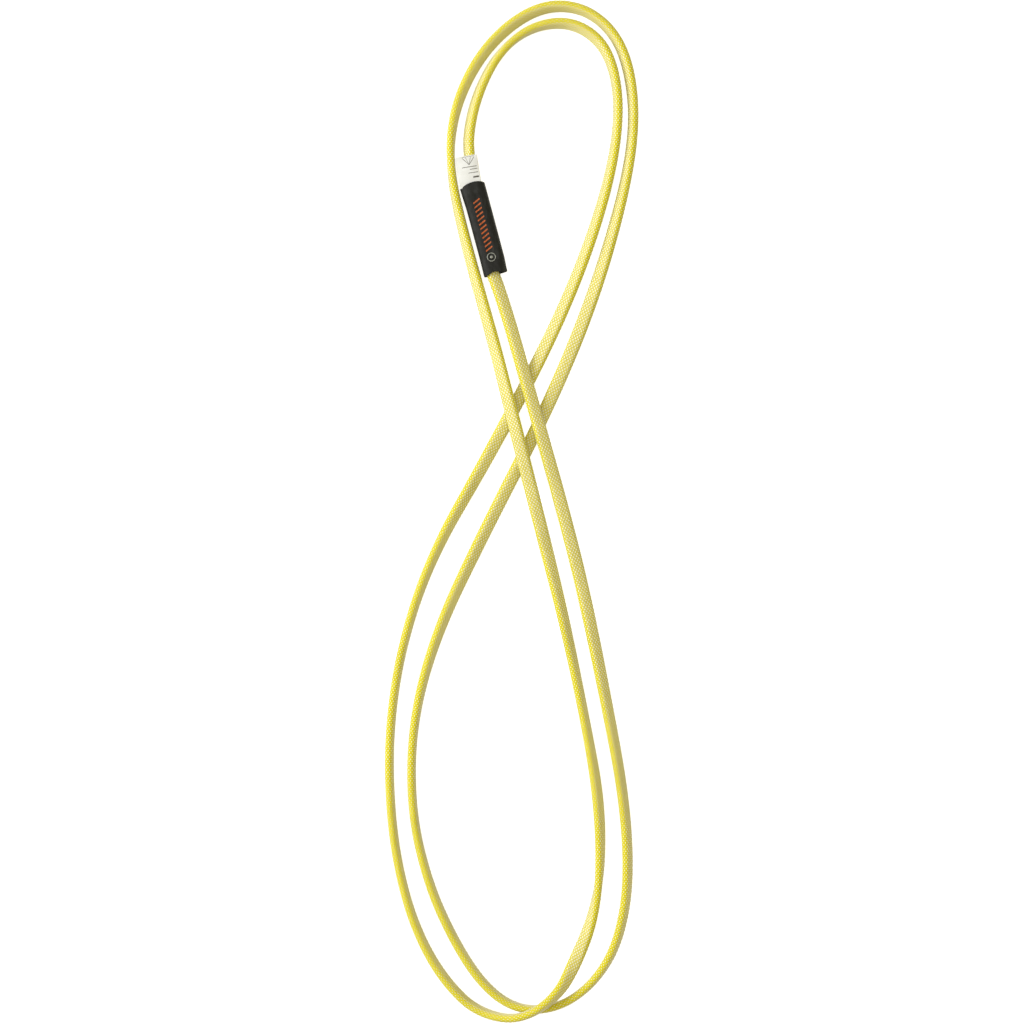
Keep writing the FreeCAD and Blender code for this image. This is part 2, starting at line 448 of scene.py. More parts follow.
@dataclass(frozen=True)
class SleeveLine:
    """The sleeve's own frame: stations up it from its lower mouth, and offsets across it."""

    mouth: Vector
    up: Vector
    across: Vector
    length: float

    @classmethod
    def from_frame(cls, frame: Mapping[str, object]) -> "SleeveLine":
        """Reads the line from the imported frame.


        Returns:
            The sleeve's line.
        """
        slide = next(joint for joint in frame["joints"] if joint["name"] == "sleeve_slide")
        up = -Vector(slide["axis"]).normalized()
        across = up.cross(Vector((0.0, 0.0, 1.0)))
        low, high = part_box("sleeve")
        corners = [vertex.co for vertex in frame["nodes"]["sleeve"].data.vertices]
        stations = [corner.dot(up) for corner in corners]
        middle = (low + high) / 2
        middle.z = 0.0
        length = max(stations) - min(stations)
        return cls(middle - up * (length / 2), up, across, length)

    def point(self, station: float, offset: float, height: float) -> Vector:
        """Point at a station up the sleeve, an offset across it and a height, all in millimetres."""
        lift = Vector((0.0, 0.0, height * MM))
        return self.mouth + self.up * (station * MM) + self.across * (offset * MM) + lift

    def points(self, stations: np.ndarray, offsets: np.ndarray, heights: np.ndarray) -> np.ndarray:
        """The same for arrays of millimetres, one row for each point."""
        spots = np.array(self.mouth) + np.outer(stations * MM, self.up) + np.outer(offsets * MM, self.across)
        spots[:, 2] += heights * MM
        return spots

    def matrix(self) -> Matrix:
        """Takes metres of (across, up the sleeve, height) to their place in the frame."""
        turn = Matrix((self.across, self.up, Vector((0.0, 0.0, 1.0)))).transposed()
        return Matrix.Translation(self.mouth) @ turn.to_4x4()


# --------------------------------------------------------------------------------------
# Finishes
# --------------------------------------------------------------------------------------


class SharedEffects:
    """Shader groups that several finishes use, each built once."""

    def __init__(self) -> None:
        """Builds the groups."""
        self.fibres = self._fibres()
        self.handling = self._handling()

    def _fibres(self) -> Tree:
        """Fine yarn filaments: a shade near 1 and a height, from a vector and a scale.

        Returns:
            The group.
        """
        inputs = {"Vector": Kind.VECTOR, "Scale": Kind.NUMBER, "Depth": Kind.NUMBER}
        graph, source, result = new_group(
            "yarn_filaments", "ShaderNodeTree", inputs, {"Shade": Kind.NUMBER, "Height": Kind.NUMBER}
        )
        fine = graph.noise(source.outputs["Vector"], source.outputs["Scale"], detail=3.0)
        centred = graph.minus(fine, 0.5)
        shade = graph.maths("MULTIPLY_ADD", centred, source.outputs["Depth"], 1.0)
        graph.feed(result.inputs["Shade"], shade)
        graph.feed(result.inputs["Height"], fine)
        return graph.tree

    def _handling(self) -> Tree:
        """Soft blotches from handling: a mask from 0 to 1, from a vector, a scale and a cover.

        Returns:
            The group.
        """
        inputs = {"Vector": Kind.VECTOR, "Scale": Kind.NUMBER, "Cover": Kind.NUMBER}
        graph, source, result = new_group("handling_marks", "ShaderNodeTree", inputs, {"Mask": Kind.NUMBER})
        cloud = graph.noise(source.outputs["Vector"], source.outputs["Scale"], detail=4.0)
        edge = graph.minus(0.72, graph.times(source.outputs["Cover"], 0.3))
        mask = graph.ramp(cloud, graph.minus(edge, 0.12), graph.maths("ADD", edge, 0.1))
        graph.feed(result.inputs["Mask"], mask)
        return graph.tree


@dataclass(frozen=True)
class Surface:
    """The plain numbers of a Principled finish."""

    roughness: float
    sheen: float = 0.0
    sheen_roughness: float = 0.5
    coat: float = 0.0
    specular: float = 0.5
    bump_distance: float = 0.0001
    bump_strength: float = 0.5

    def start(self, name: str) -> tuple[Material, Graph, bpy.types.Node]:
        """Starts a material with these numbers on its Principled node.

        Args:
            name: The material's name.

        Returns:
            The material, its graph and its Principled node.
        """
        material = bpy.data.materials.new(name)
        material.use_nodes = True
        graph = Graph(material.node_tree)
        shader = material.node_tree.nodes["Principled BSDF"]
        shader.inputs["Roughness"].default_value = self.roughness
        shader.inputs["Sheen Weight"].default_value = self.sheen
        shader.inputs["Sheen Roughness"].default_value = self.sheen_roughness
        shader.inputs["Coat Weight"].default_value = self.coat
        shader.inputs["Specular IOR Level"].default_value = self.specular
        return material, graph, shader

    def bump(self, graph: Graph, shader: bpy.types.Node, height: Feed) -> None:
        """Feeds a height to the Principled node's normal.

        Args:
            graph: The material's graph.
            shader: Its Principled node.
            height: The height, about 0 to 1.
        """
        feeds = {"Strength": self.bump_strength, "Distance": self.bump_distance, "Height": height}
        graph.feed(shader.inputs["Normal"], graph.add("ShaderNodeBump", feeds).outputs[0])


@dataclass(frozen=True)
class BraidFinish:
    """Cream and yellow yarns that cross over one another, with a yellow row at each narrow edge."""

    name: str
    columns: int
    cream: Colour
    yellow: Colour
    edge_yellow: Colour
    edge_rows: float = 2.5
    edge_full: float = 0.55
    cream_from: float = 0.15
    edge_cream_loss: float = 0.4
    cream_softness: float = 0.16
    yarn_drift: float = 0.24
    painted_groove_shade: float = 0.75
    filament_scale: float = 3200.0
    handling_shade: float = 0.06
    surface: Surface = Surface(
        roughness=0.62, sheen=0.9, sheen_roughness=0.3, specular=0.3, bump_distance=0.00016, bump_strength=0.7
    )

    def material(self, effects: SharedEffects) -> Material:
        """Builds the material, which reads the piece's own braid map.

        Args:
            effects: The shared groups.

        Returns:
            The material.
        """
        material, graph, shader = self.surface.start(self.name)
        braid = graph.add("ShaderNodeUVMap", uv_map="Braid").outputs[0]
        around, along, _ = graph.split(braid)
        place = graph.add("ShaderNodeTexCoord").outputs["Object"]
        drift = graph.times(graph.minus(graph.noise(place, 900.0), 0.5), self.yarn_drift)
        across_wave = graph.maths("COSINE", graph.times(around, math.pi))
        turns = graph.maths("ADD", along, drift)
        along_wave = graph.maths("COSINE", graph.times(turns, 2 * math.pi))
        crown = graph.times(across_wave, along_wave)
        edge_turn = graph.times(around, 2 * math.pi / self.columns)
        edge = graph.maths("ABSOLUTE", graph.maths("COSINE", edge_turn))
        edge_start = math.cos(2 * math.pi * self.edge_rows / self.columns)
        edge_full = math.cos(2 * math.pi * self.edge_full * self.edge_rows / self.columns)
        edge_mask = graph.ramp(edge, edge_start, edge_full)
        threshold = graph.maths("MULTIPLY_ADD", edge_mask, self.edge_cream_loss, self.cream_from)
        low = graph.minus(threshold, self.cream_softness)
        cream = graph.ramp(crown, low, graph.maths("ADD", threshold, self.cream_softness))
        yellow = graph.mix(edge_mask, self.yellow, self.edge_yellow)
        colour = graph.mix(cream, yellow, self.cream)
        # Painted shade: the grooves between the crowns are darkened as if in shadow.
        groove = graph.ramp(graph.maths("ABSOLUTE", crown), 0.0, 0.35, self.painted_groove_shade, 1.0)
        filaments = graph.place(effects.fibres, {"Vector": place, "Scale": self.filament_scale, "Depth": 0.3})
        shade = graph.times(groove, filaments.outputs["Shade"])
        marks = graph.place(effects.handling, {"Vector": place, "Scale": 38.0, "Cover": 0.35})
        worn = graph.maths("MULTIPLY_ADD", marks.outputs["Mask"], -self.handling_shade, 1.0)
        shade = graph.times(shade, worn)
        graph.feed(shader.inputs["Base Color"], graph.mix(1.0, colour, grey_of(graph, shade), "MULTIPLY"))
        graph.feed(
            shader.inputs["Roughness"],
            graph.maths("MULTIPLY_ADD", filaments.outputs["Height"], 0.2, self.surface.roughness - 0.1),
        )
        pillow = graph.maths("SQRT", graph.maths("ABSOLUTE", crown))
        height = graph.maths("MULTIPLY_ADD", filaments.outputs["Height"], 0.35, pillow)
        self.surface.bump(graph, shader, height)
        return material


def grey_of(graph: Graph, value: Feed) -> Socket:
    """Turns a number into a grey colour."""
    return graph.add("ShaderNodeCombineColor", {0: value, 1: value, 2: value}).outputs[0]


@dataclass(frozen=True)
class YarnFinish:
    """Plain yarn or sewing thread, with filaments and a little colour drift."""

    name: str
    colour: Colour
    shade_colour: Colour
    filament_scale: float
    surface: Surface

    def material(self, effects: SharedEffects) -> Material:
        """Builds the material.

        Args:
            effects: The shared groups.

        Returns:
            The material.
        """
        material, graph, shader = self.surface.start(self.name)
        place = graph.add("ShaderNodeTexCoord").outputs["Object"]
        feeds = {"Vector": place, "Scale": self.filament_scale, "Depth": 0.35}
        filaments = graph.place(effects.fibres, feeds)
        drift = graph.ramp(graph.noise(place, 220.0), 0.35, 0.7)
        colour = graph.mix(drift, self.colour, self.shade_colour)
        shade = grey_of(graph, filaments.outputs["Shade"])
        graph.feed(shader.inputs["Base Color"], graph.mix(1.0, colour, shade, "MULTIPLY"))
        self.surface.bump(graph, shader, filaments.outputs["Height"])
        return material


@dataclass(frozen=True)
class MeltedFinish:
    """Cord end melted to a hard bead: browned in blotches, glossy and a little lumpy."""

    name: str
    colour: Colour
    burnt: Colour
    surface: Surface = Surface(roughness=0.32, coat=0.2, bump_distance=0.0002, bump_strength=0.35)

    def material(self, effects: SharedEffects) -> Material:
        """Builds the material.

        Args:
            effects: The shared groups.

        Returns:
            The material.
        """
        material, graph, shader = self.surface.start(self.name)
        place = graph.add("ShaderNodeTexCoord").outputs["Object"]
        marks = graph.place(effects.handling, {"Vector": place, "Scale": 520.0, "Cover": 0.8})
        graph.feed(shader.inputs["Base Color"], graph.mix(marks.outputs["Mask"], self.colour, self.burnt))
        lumps = graph.noise(place, 900.0, detail=3.0)
        graph.feed(shader.inputs["Roughness"], graph.ramp(lumps, 0.3, 0.7, 0.22, 0.5))
        self.surface.bump(graph, shader, lumps)
        return material


@dataclass(frozen=True)
class RubberFinish:
    """Matt black rubber: fine grain, faint lengthwise streaks, and dust where it was handled."""

    name: str
    colour: Colour
    dusty: Colour
    surface: Surface = Surface(roughness=0.55, specular=0.25, bump_distance=0.00008, bump_strength=0.7)

    def material(self, effects: SharedEffects, lean: float) -> Material:
        """Builds the material.

        Args:
            effects: The shared groups.
            lean: The sleeve's lean from the Y axis, in radians, for its streaks.

        Returns:
            The material.
        """
        material, graph, shader = self.surface.start(self.name)
        place = graph.add("ShaderNodeTexCoord").outputs["Object"]
        turned = graph.add(
            "ShaderNodeMapping", {"Vector": place, "Rotation": (0.0, 0.0, -lean), "Scale": (1.0, 0.06, 1.0)}
        ).outputs[0]
        streaks = graph.noise(turned, 1100.0, detail=3.0)
        grain = graph.noise(place, 5200.0, detail=2.0)
        marks = graph.place(effects.handling, {"Vector": place, "Scale": 150.0, "Cover": 0.6})
        dust = graph.times(marks.outputs["Mask"], graph.ramp(streaks, 0.35, 0.7))
        graph.feed(shader.inputs["Base Color"], graph.mix(dust, self.colour, self.dusty))
        graph.feed(shader.inputs["Roughness"], graph.ramp(streaks, 0.3, 0.75, 0.5, 0.68))
        self.surface.bump(graph, shader, graph.maths("MULTIPLY_ADD", streaks, 0.6, grain))
        return material


@dataclass(frozen=True)
class TapeFinish:
    """Woven satin tape: fine ribs across it and a soft sheen, read from the tape's own map."""

    name: str
    colour: Colour
    shade_colour: Colour
    ribs_per_metre: float
    surface: Surface = Surface(roughness=0.5, sheen=0.2, bump_distance=0.00005, bump_strength=0.5)

    def material(self, effects: SharedEffects) -> Material:
        """Builds the material.

        Args:
            effects: The shared groups.

        Returns:
            The material.
        """
        material, graph, shader = self.surface.start(self.name)
        tape = graph.add("ShaderNodeUVMap", uv_map="Tape").outputs[0]
        across, along, _ = graph.split(tape)
        turn = 2 * math.pi * self.ribs_per_metre
        ribs = graph.maths("SINE", graph.times(along, turn))
        warps = graph.maths("SINE", graph.times(across, turn))
        weave = graph.maths("MULTIPLY_ADD", graph.times(ribs, warps), 0.5, 0.5)
        place = graph.add("ShaderNodeTexCoord").outputs["Object"]
        filaments = graph.place(effects.fibres, {"Vector": place, "Scale": 4200.0, "Depth": 0.12})
        marks = graph.place(effects.handling, {"Vector": place, "Scale": 120.0, "Cover": 0.5})
        colour = graph.mix(graph.times(marks.outputs["Mask"], 0.6), self.colour, self.shade_colour)
        shade = graph.times(filaments.outputs["Shade"], graph.ramp(weave, 0.0, 0.6, 0.93, 1.0))
        graph.feed(shader.inputs["Base Color"], graph.mix(1.0, colour, grey_of(graph, shade), "MULTIPLY"))
        self.surface.bump(graph, shader, graph.maths("MULTIPLY_ADD", filaments.outputs["Height"], 0.3, weave))
        return material


@dataclass(frozen=True)
class InkFinish:
    """Screen-printed ink: thin, matt, and worn through in specks."""

    name: str
    colour: Colour
    worn: Colour
    surface: Surface = Surface(roughness=0.6, bump_distance=0.00003, bump_strength=0.4)

    def material(self, effects: SharedEffects) -> Material:
        """Builds the material.

        Args:
            effects: The shared groups.

        Returns:
            The material.
        """
        material, graph, shader = self.surface.start(self.name)
        place = graph.add("ShaderNodeTexCoord").outputs["Object"]
        marks = graph.place(effects.handling, {"Vector": place, "Scale": 1900.0, "Cover": 0.45})
        graph.feed(shader.inputs["Base Color"], graph.mix(marks.outputs["Mask"], self.colour, self.worn))
        self.surface.bump(graph, shader, graph.noise(place, 4200.0))
        return material


# --------------------------------------------------------------------------------------
# The cord
# --------------------------------------------------------------------------------------


class Spot(NamedTuple):
    """A control point of the cord's route: its place in metres and its roll in degrees.

    The roll turns the cord's flat section about its line, from flat on the surface, and a spot
    with no height rests on the surface.
    """

    x: float
    y: float
    roll: float
    height: Optional[float] = None


HUMP = 0.0079
LOW_HUMP = 0.0108

ROUTE = [
    # Down over the two strands below, in one long hump.
    Spot(0.0049, 0.0804, 26, HUMP),
    Spot(0.0192, 0.0303, 16, HUMP),
    Spot(0.0260, 0.0065, 9),
    # The lower lobe's outer right side.
    Spot(0.0377, -0.0383, 14),
    Spot(0.0498, -0.0962, 42),
    Spot(0.0608, -0.1545, 57),
    Spot(0.0632, -0.1990, 63),
    Spot(0.0579, -0.2294, 67),
    Spot(0.0478, -0.2488, 74),
    Spot(0.0332, -0.2624, 81),
    # The bottom, under the other pass, and up the inner left side.
    Spot(0.0168, -0.2682, 86),
    Spot(-0.0004, -0.2660, 92),
    Spot(-0.0158, -0.2538, 99),
    Spot(-0.0303, -0.2318, 104),
    Spot(-0.0446, -0.2006, 102),
    Spot(-0.0540, -0.1607, 97),
    Spot(-0.0533, -0.1130, 97),
    Spot(-0.0404, -0.0651, 121),
    # The straight stretch under both strands above.
    Spot(-0.0145, -0.0108, 154),
    Spot(0.0184, 0.0532, 167),
    Spot(0.0434, 0.1126, 199),
    # The upper lobe's outer arch.
    Spot(0.0603, 0.1697, 237),
    Spot(0.0664, 0.2080, 249),
    Spot(0.0634, 0.2382, 239),
    Spot(0.0548, 0.2580, 252),
    Spot(0.0390, 0.2702, 248),
    Spot(0.0194, 0.2722, 236),
    Spot(-0.0002, 0.2624, 231),
    Spot(-0.0184, 0.2431, 237),
    Spot(-0.0311, 0.2154, 249),
    Spot(-0.0337, 0.1850, 274),
    # Beside the sleeve, then over the two strands below.
    Spot(-0.0250, 0.1453, 305),
    Spot(-0.0102, 0.0932, 324),
    Spot(-0.0036, 0.0672, 333, HUMP),
    Spot(0.0100, 0.0140, 358, HUMP),
    Spot(0.0166, -0.0120, 377),
    # The lower lobe's inner right side.
    Spot(0.0287, -0.0599, 414),
    Spot(0.0403, -0.1158, 430),
    Spot(0.0471, -0.1552, 406),
    Spot(0.0481, -0.1927, 432),
    Spot(0.0436, -0.2194, 481),
    Spot(0.0347, -0.2415, 532),
    # Over the other pass at the bottom, and up the outer left side.
    Spot(0.0249, -0.2590, 600, LOW_HUMP),
    Spot(0.0048, -0.2723, 624, LOW_HUMP),
    Spot(-0.0177, -0.2693, 643),
    Spot(-0.0332, -0.2553, 648),
    Spot(-0.0468, -0.2346, 645),
    Spot(-0.0576, -0.2064, 641),
    Spot(-0.0649, -0.1670, 640),
    Spot(-0.0661, -0.1186, 639),
    Spot(-0.0588, -0.0704, 640),
    Spot(-0.0424, -0.0226, 656),
    # The straight stretch under both strands above.
    Spot(-0.0139, 0.0270, 694),
    Spot(0.0189, 0.0885, 740),
    # The upper lobe's inner arch.
    Spot(0.0394, 0.1359, 766),
    Spot(0.0530, 0.1790, 784),
    Spot(0.0581, 0.2132, 796),
    Spot(0.0552, 0.2383, 793),
    Spot(0.0465, 0.2547, 778),
    Spot(0.0295, 0.2636, 781),
    Spot(0.0088, 0.2596, 805),
    Spot(-0.0077, 0.2454, 825),
    Spot(-0.0184, 0.2243, 839),
    Spot(-0.0233, 0.2030, 843),
]


@dataclass
class Cord:
    """The braided cord, from its cut end in one lap round the loop to the other cut end."""

    line: SleeveLine
    diameter: float = 5.9
    half_width: float = 3.65
    half_thickness: float = 2.15
    sheath_wall: float = 0.9
    columns: int = 22
    braid_pitch: float = 2.31
    relief: float = 0.17
    unevenness: float = 0.1
    lap_offset: float = 3.0
    lap_height: float = 3.85
    lower_cut: float = 9.5
    upper_cut: float = 40.5
    round_length: float = 33.0
    oval_from: float = 43.0
    core_columns: int = 12
    core_pitch: float = 6.0
    bake_rows: int = 11

    def rest_height(self, roll: float) -> float:
        """Height of the cord's line where it lies on the surface, in metres, for a roll in degrees."""
        turn = math.radians(roll)
        half = (self.half_width - self.half_thickness) * abs(math.sin(turn)) + self.half_thickness
        return (half + self.relief) * MM

    def lap_spots(self, places: Sequence[tuple[float, float, float]]) -> list[Spot]:
        """Control points near the sleeve, which rest on the surface past its upper mouth only.

        Args:
            places: Station and offset in millimetres and roll in degrees, for each point.

        Returns:
            The control points.
        """
        spots = []
        for station, offset, roll in places:
            point = self.line.point(station, offset, self.lap_height)
            past_upper_mouth = station > self.line.length / MM
            spots.append(Spot(point.x, point.y, roll, None if past_upper_mouth else point.z))
        return spots

    def route(self) -> Piece:
        """Builds the cord's line as one open NURBS curve with its roll as tilt.

        Returns:
            The curve object, which has no thickness.
        """
        leaving = [(self.upper_cut, -self.lap_offset, 18), (14.0, -self.lap_offset, 20), (4.0, -2.2, 22)]
        leaving += [(-8.0, -0.8, 24), (-28.0, 0.1, 27)]
        arriving = [(62.0, 1.7, 844), (52.0, 1.7, 845), (44.0, 2.4, 845), (34.0, self.lap_offset, 845)]
        arriving += [(self.lower_cut, self.lap_offset, 845)]
        spots = self.lap_spots(leaving) + ROUTE + self.lap_spots(arriving)
        curve = bpy.data.curves.new("cord_route", "CURVE")
        curve.dimensions = "3D"
        spline = curve.splines.new("NURBS")
        spline.points.add(len(spots) - 1)
        for point, spot in zip(spline.points, spots):
            height = self.rest_height(spot.roll) if spot.height is None else spot.height
            point.co = (spot.x, spot.y, height, 1.0)
            point.tilt = math.radians(spot.roll)
        spline.order_u = 3
        spline.use_endpoint_u = True
        spline.resolution_u = 24
        route = bpy.data.objects.new("cord_route", curve)
        bpy.context.scene.collection.objects.link(route)
        route.hide_render = True
        return route

    def path(self, route: Piece) -> np.ndarray:
        """Reads the points along the route's own line.

        Args:
            route: The route's curve object.

        Returns:
            One row for each point, in metres.
        """
        bpy.context.view_layer.update()
        graph = bpy.context.evaluated_depsgraph_get()
        mesh = bpy.data.meshes.new_from_object(route.evaluated_get(graph))
        points = np.zeros(len(mesh.vertices) * 3)
        mesh.vertices.foreach_get("co", points)
        bpy.data.meshes.remove(mesh)
        return points.reshape(-1, 3)

    @staticmethod
    def braided_tube() -> Tree:
        """Builds the tree that sweeps a flat oval section along the route, raised at each crown.

        Returns:
            The geometry tree.
        """
        inputs = {
            "Route": Kind.OBJECT,
            "Columns": Kind.COUNT,
            "Pitch": Kind.NUMBER,
            "Half Width": Kind.NUMBER,
            "Half Thickness": Kind.NUMBER,
            "Round Radius": Kind.NUMBER,
            "Round Length": Kind.NUMBER,
            "Oval From": Kind.NUMBER,
            "Relief": Kind.NUMBER,
            "Unevenness": Kind.NUMBER,
            "Finish": Kind.MATERIAL,
        }
        graph, given, result = new_geometry("braided_tube", inputs)
        curve = graph.add("GeometryNodeObjectInfo", {"Object": given["Route"]}).outputs["Geometry"]
        step = graph.maths("DIVIDE", given["Pitch"], 4.0)
        curve = graph.geometry("ResampleCurve", {"Curve": curve, "Length": step}, mode="LENGTH")
        curve = Cord._store_line(graph, curve)
        profile = Cord._store_section(graph, given)
        feeds = {"Curve": curve, "Profile Curve": profile, "Fill Caps": True}
        mesh = graph.geometry("CurveToMesh", feeds)
        mesh = graph.geometry("SetPosition", {"Geometry": mesh, "Position": Cord._skin(graph, given)})
        finish_geometry(graph, result, mesh, given["Finish"])
        return graph.tree

    @staticmethod
    def _store(graph: Graph, geometry: Feed, name: str, value: Feed, kind: str) -> Socket:
        """Stores a named value on each point of a geometry and gives the geometry."""
        feeds = {"Geometry": geometry, "Name": name}
        node = graph.add("GeometryNodeStoreNamedAttribute", feeds, data_type=kind)
        graph.feed(next(s for s in node.inputs if s.name == "Value" and s.enabled), value)
        return node.outputs[0]

    @staticmethod
    def _read(graph: Graph, name: str, kind: str) -> Socket:
        """Reads a named value back."""
        node = graph.add("GeometryNodeInputNamedAttribute", {"Name": name}, data_type=kind)
        return next(s for s in node.outputs if s.name == "Attribute" and s.enabled)

    @staticmethod
    def _store_line(graph: Graph, curve: Feed) -> Socket:
        """Stores on the route's points its centre, its rolled side and up, and its two lengths.

        Args:
            graph: The tree's graph.
            curve: The evenly divided route.

        Returns:
            The route with the values on it.
        """
        tangent = graph.geometry("InputTangent")
        tilt = graph.geometry("InputCurveTilt")
        level = graph.vector("NORMALIZE", graph.vector("CROSS_PRODUCT", tangent, (0.0, 0.0, 1.0)))
        above = graph.vector("CROSS_PRODUCT", level, tangent)
        cosine = graph.maths("COSINE", tilt)
        sine = graph.maths("SINE", tilt)
        back = graph.times(sine, -1.0)
        side = graph.vector("ADD", graph.scaled(level, cosine), graph.scaled(above, sine))
        up = graph.vector("ADD", graph.scaled(level, back), graph.scaled(above, cosine))
        along = graph.add("GeometryNodeSplineParameter").outputs["Length"]
        whole = graph.add("GeometryNodeSplineLength").outputs["Length"]
        place = graph.geometry("InputPosition")
        number = graph.geometry("InputIndex")
        curve = Cord._store(graph, curve, "centre", place, "FLOAT_VECTOR")
        curve = Cord._store(graph, curve, "side", side, "FLOAT_VECTOR")
        curve = Cord._store(graph, curve, "up", up, "FLOAT_VECTOR")
        ends = graph.maths("MINIMUM", along, graph.minus(whole, along))
        curve = Cord._store(graph, curve, "from_end", ends, "FLOAT")
        return Cord._store(graph, curve, "ring", number, "INT")

    @staticmethod
    def _store_section(graph: Graph, given: Mapping[str, Feed]) -> Socket:
        """Makes the flat round-ended section, its points a yarn apart, and stores their places.

        Args:
            graph: The tree's graph.
            given: The tree's inputs.

        Returns:
            The section's curve.
        """
        circle = graph.geometry("CurvePrimitiveCircle", {"Resolution": 176, "Radius": 1.0})
        facing = graph.geometry("InputPosition")
        circle = Cord._store(graph, circle, "facing", facing, "FLOAT_VECTOR")
        right, above, _ = graph.split(facing)
        flat = graph.maths("MINIMUM", graph.maths("MAXIMUM", graph.times(right, 3.0), -1.0), 1.0)
        spread = graph.minus(given["Half Width"], given["Half Thickness"])
        round_end = graph.times(right, given["Half Thickness"])
        wide = graph.maths("MULTIPLY_ADD", flat, spread, round_end)
        tall = graph.times(above, given["Half Thickness"])
        corner = graph.join({0: wide, 1: tall})
        oval = graph.geometry("SetPosition", {"Geometry": circle, "Position": corner})
        feeds = {"Curve": oval, "Count": given["Columns"]}
        oval = graph.geometry("ResampleCurve", feeds, mode="COUNT")
        place = graph.geometry("InputPosition")
        number = graph.geometry("InputIndex")
        oval = Cord._store(graph, oval, "oval", place, "FLOAT_VECTOR")
        return Cord._store(graph, oval, "column", number, "INT")

    @staticmethod
    def _skin(graph: Graph, given: Mapping[str, Feed]) -> Socket:
        """Works out where each point of the skin goes.

        Args:
            graph: The tree's graph.
            given: The tree's inputs.

        Returns:
            The position.
        """
        oval = Cord._read(graph, "oval", "FLOAT_VECTOR")
        column = Cord._read(graph, "column", "INT")
        ring = Cord._read(graph, "ring", "INT")
        centre = Cord._read(graph, "centre", "FLOAT_VECTOR")
        turn = graph.times(graph.maths("DIVIDE", column, given["Columns"]), 2 * math.pi)
        disc = graph.join({0: graph.maths("COSINE", turn), 1: graph.maths("SINE", turn)})
        rounded = graph.scaled(disc, given["Round Radius"])
        out_of_oval = graph.vector("NORMALIZE", Cord._read(graph, "facing", "FLOAT_VECTOR"))
        free = graph.ramp(Cord._read(graph, "from_end", "FLOAT"), given["Round Length"], given["Oval From"])
        in_lap = graph.minus(1.0, free)
        section = graph.vector("ADD", graph.scaled(oval, free), graph.scaled(rounded, in_lap))
        outward = graph.vector(
            "NORMALIZE",
            graph.vector(
                "ADD", graph.scaled(out_of_oval, free), graph.scaled(disc, in_lap)
            ),
        )
        phase = graph.maths("MULTIPLY_ADD", ring, math.pi / 2, graph.times(column, math.pi))
        crown = graph.times(graph.maths("COSINE", phase), given["Relief"])
        cloud = graph.add("ShaderNodeTexNoise", {"Vector": graph.vector("ADD", centre, oval), "Scale": 110.0})
        swell = graph.times(graph.minus(cloud.outputs[0], 0.5), given["Unevenness"])
        raised = graph.vector("ADD", section, graph.scaled(outward, graph.maths("ADD", crown, swell)))
        right, above, _ = graph.split(raised)
        side = graph.scaled(Cord._read(graph, "side", "FLOAT_VECTOR"), right)
        up = graph.scaled(Cord._read(graph, "up", "FLOAT_VECTOR"), above)
        return graph.vector("ADD", centre, graph.vector("ADD", side, up))

    def lay_maps(self, mesh: bpy.types.Mesh, columns: int, rings_per_pitch: int = 4) -> None:
        """Gives a swept tube its braid map, and a bake map of even rows along its length.

        Args:
            mesh: The tube.
            columns: How many points its section has.
            rings_per_pitch: How many rings one pitch of the braid has.
        """
        column, ring = (np.zeros(len(mesh.vertices), np.int32) for _ in range(2))
        mesh.attributes["column"].data.foreach_get("value", column)
        mesh.attributes["ring"].data.foreach_get("value", ring)
        corners = np.zeros(len(mesh.loops), np.int32)
        mesh.loops.foreach_get("vertex_index", corners)
        quads = (len(mesh.polygons) - 2) * 4
        around, along = column[corners].astype(float), ring[corners].astype(float)
        wall_around = around[:quads].reshape(-1, 4)
        wraps = wall_around.max(1) == columns - 1
        wall_around[wraps[:, None] & (wall_around == 0)] = columns
        around[:quads] = wall_around.ravel()
        braid = np.stack([around, along / rings_per_pitch], 1)
        row_length = math.ceil(ring.max() / self.bake_rows)
        row = np.repeat(along[:quads].reshape(-1, 4).min(1) // row_length, 4)
        bake = np.zeros((len(corners), 2))
        cap_strip, row_margin = 0.02, 0.02
        inner = row_margin + (1 - 2 * row_margin) * around[:quads] / columns
        bake[:quads, 0] = (along[:quads] - row * row_length) / row_length
        bake[:quads, 1] = (row + inner) * (1 - cap_strip) / self.bake_rows
        turn = 2 * np.pi * around[quads:] / columns
        middle = np.where(along[quads:] > 0, 0.06, 0.02)
        bake[quads:, 0] = middle + 0.4 * cap_strip * np.cos(turn)
        bake[quads:, 1] = 1 - cap_strip / 2 + 0.4 * cap_strip * np.sin(turn)
        for name, values in (("Braid", braid), ("OFBake", bake)):
            layer = mesh.uv_layers.new(name=name)
            layer.uv.foreach_set("vector", values.astype(np.float32).ravel())
        for name in ("centre", "side", "up", "from_end", "ring", "facing", "oval", "column"):
            mesh.attributes.remove(mesh.attributes[name])

    def layer(
        self,
        name: str,
        tree: Tree,
        settings: Mapping[str, Feed],
        columns: int,
        inset: float,
    ) -> Piece:
        """Sweeps one layer of the cord and lays its maps.

        Args:
            name: The piece's name.
            tree: The tree that sweeps it.
            settings: The tree's inputs other than its section.
            columns: How many points its section has.
            inset: How far it is inside the cord's outline, in millimetres.

        Returns:
            The layer.
        """
        section = {
            "Columns": columns,
            "Half Width": (self.half_width - inset) * MM,
            "Half Thickness": (self.half_thickness - inset) * MM,
            "Round Radius": (self.diameter / 2 - inset) * MM,
        }
        piece = grow(name, tree, {**settings, **section})
        self.lay_maps(piece.data, columns)
        return piece

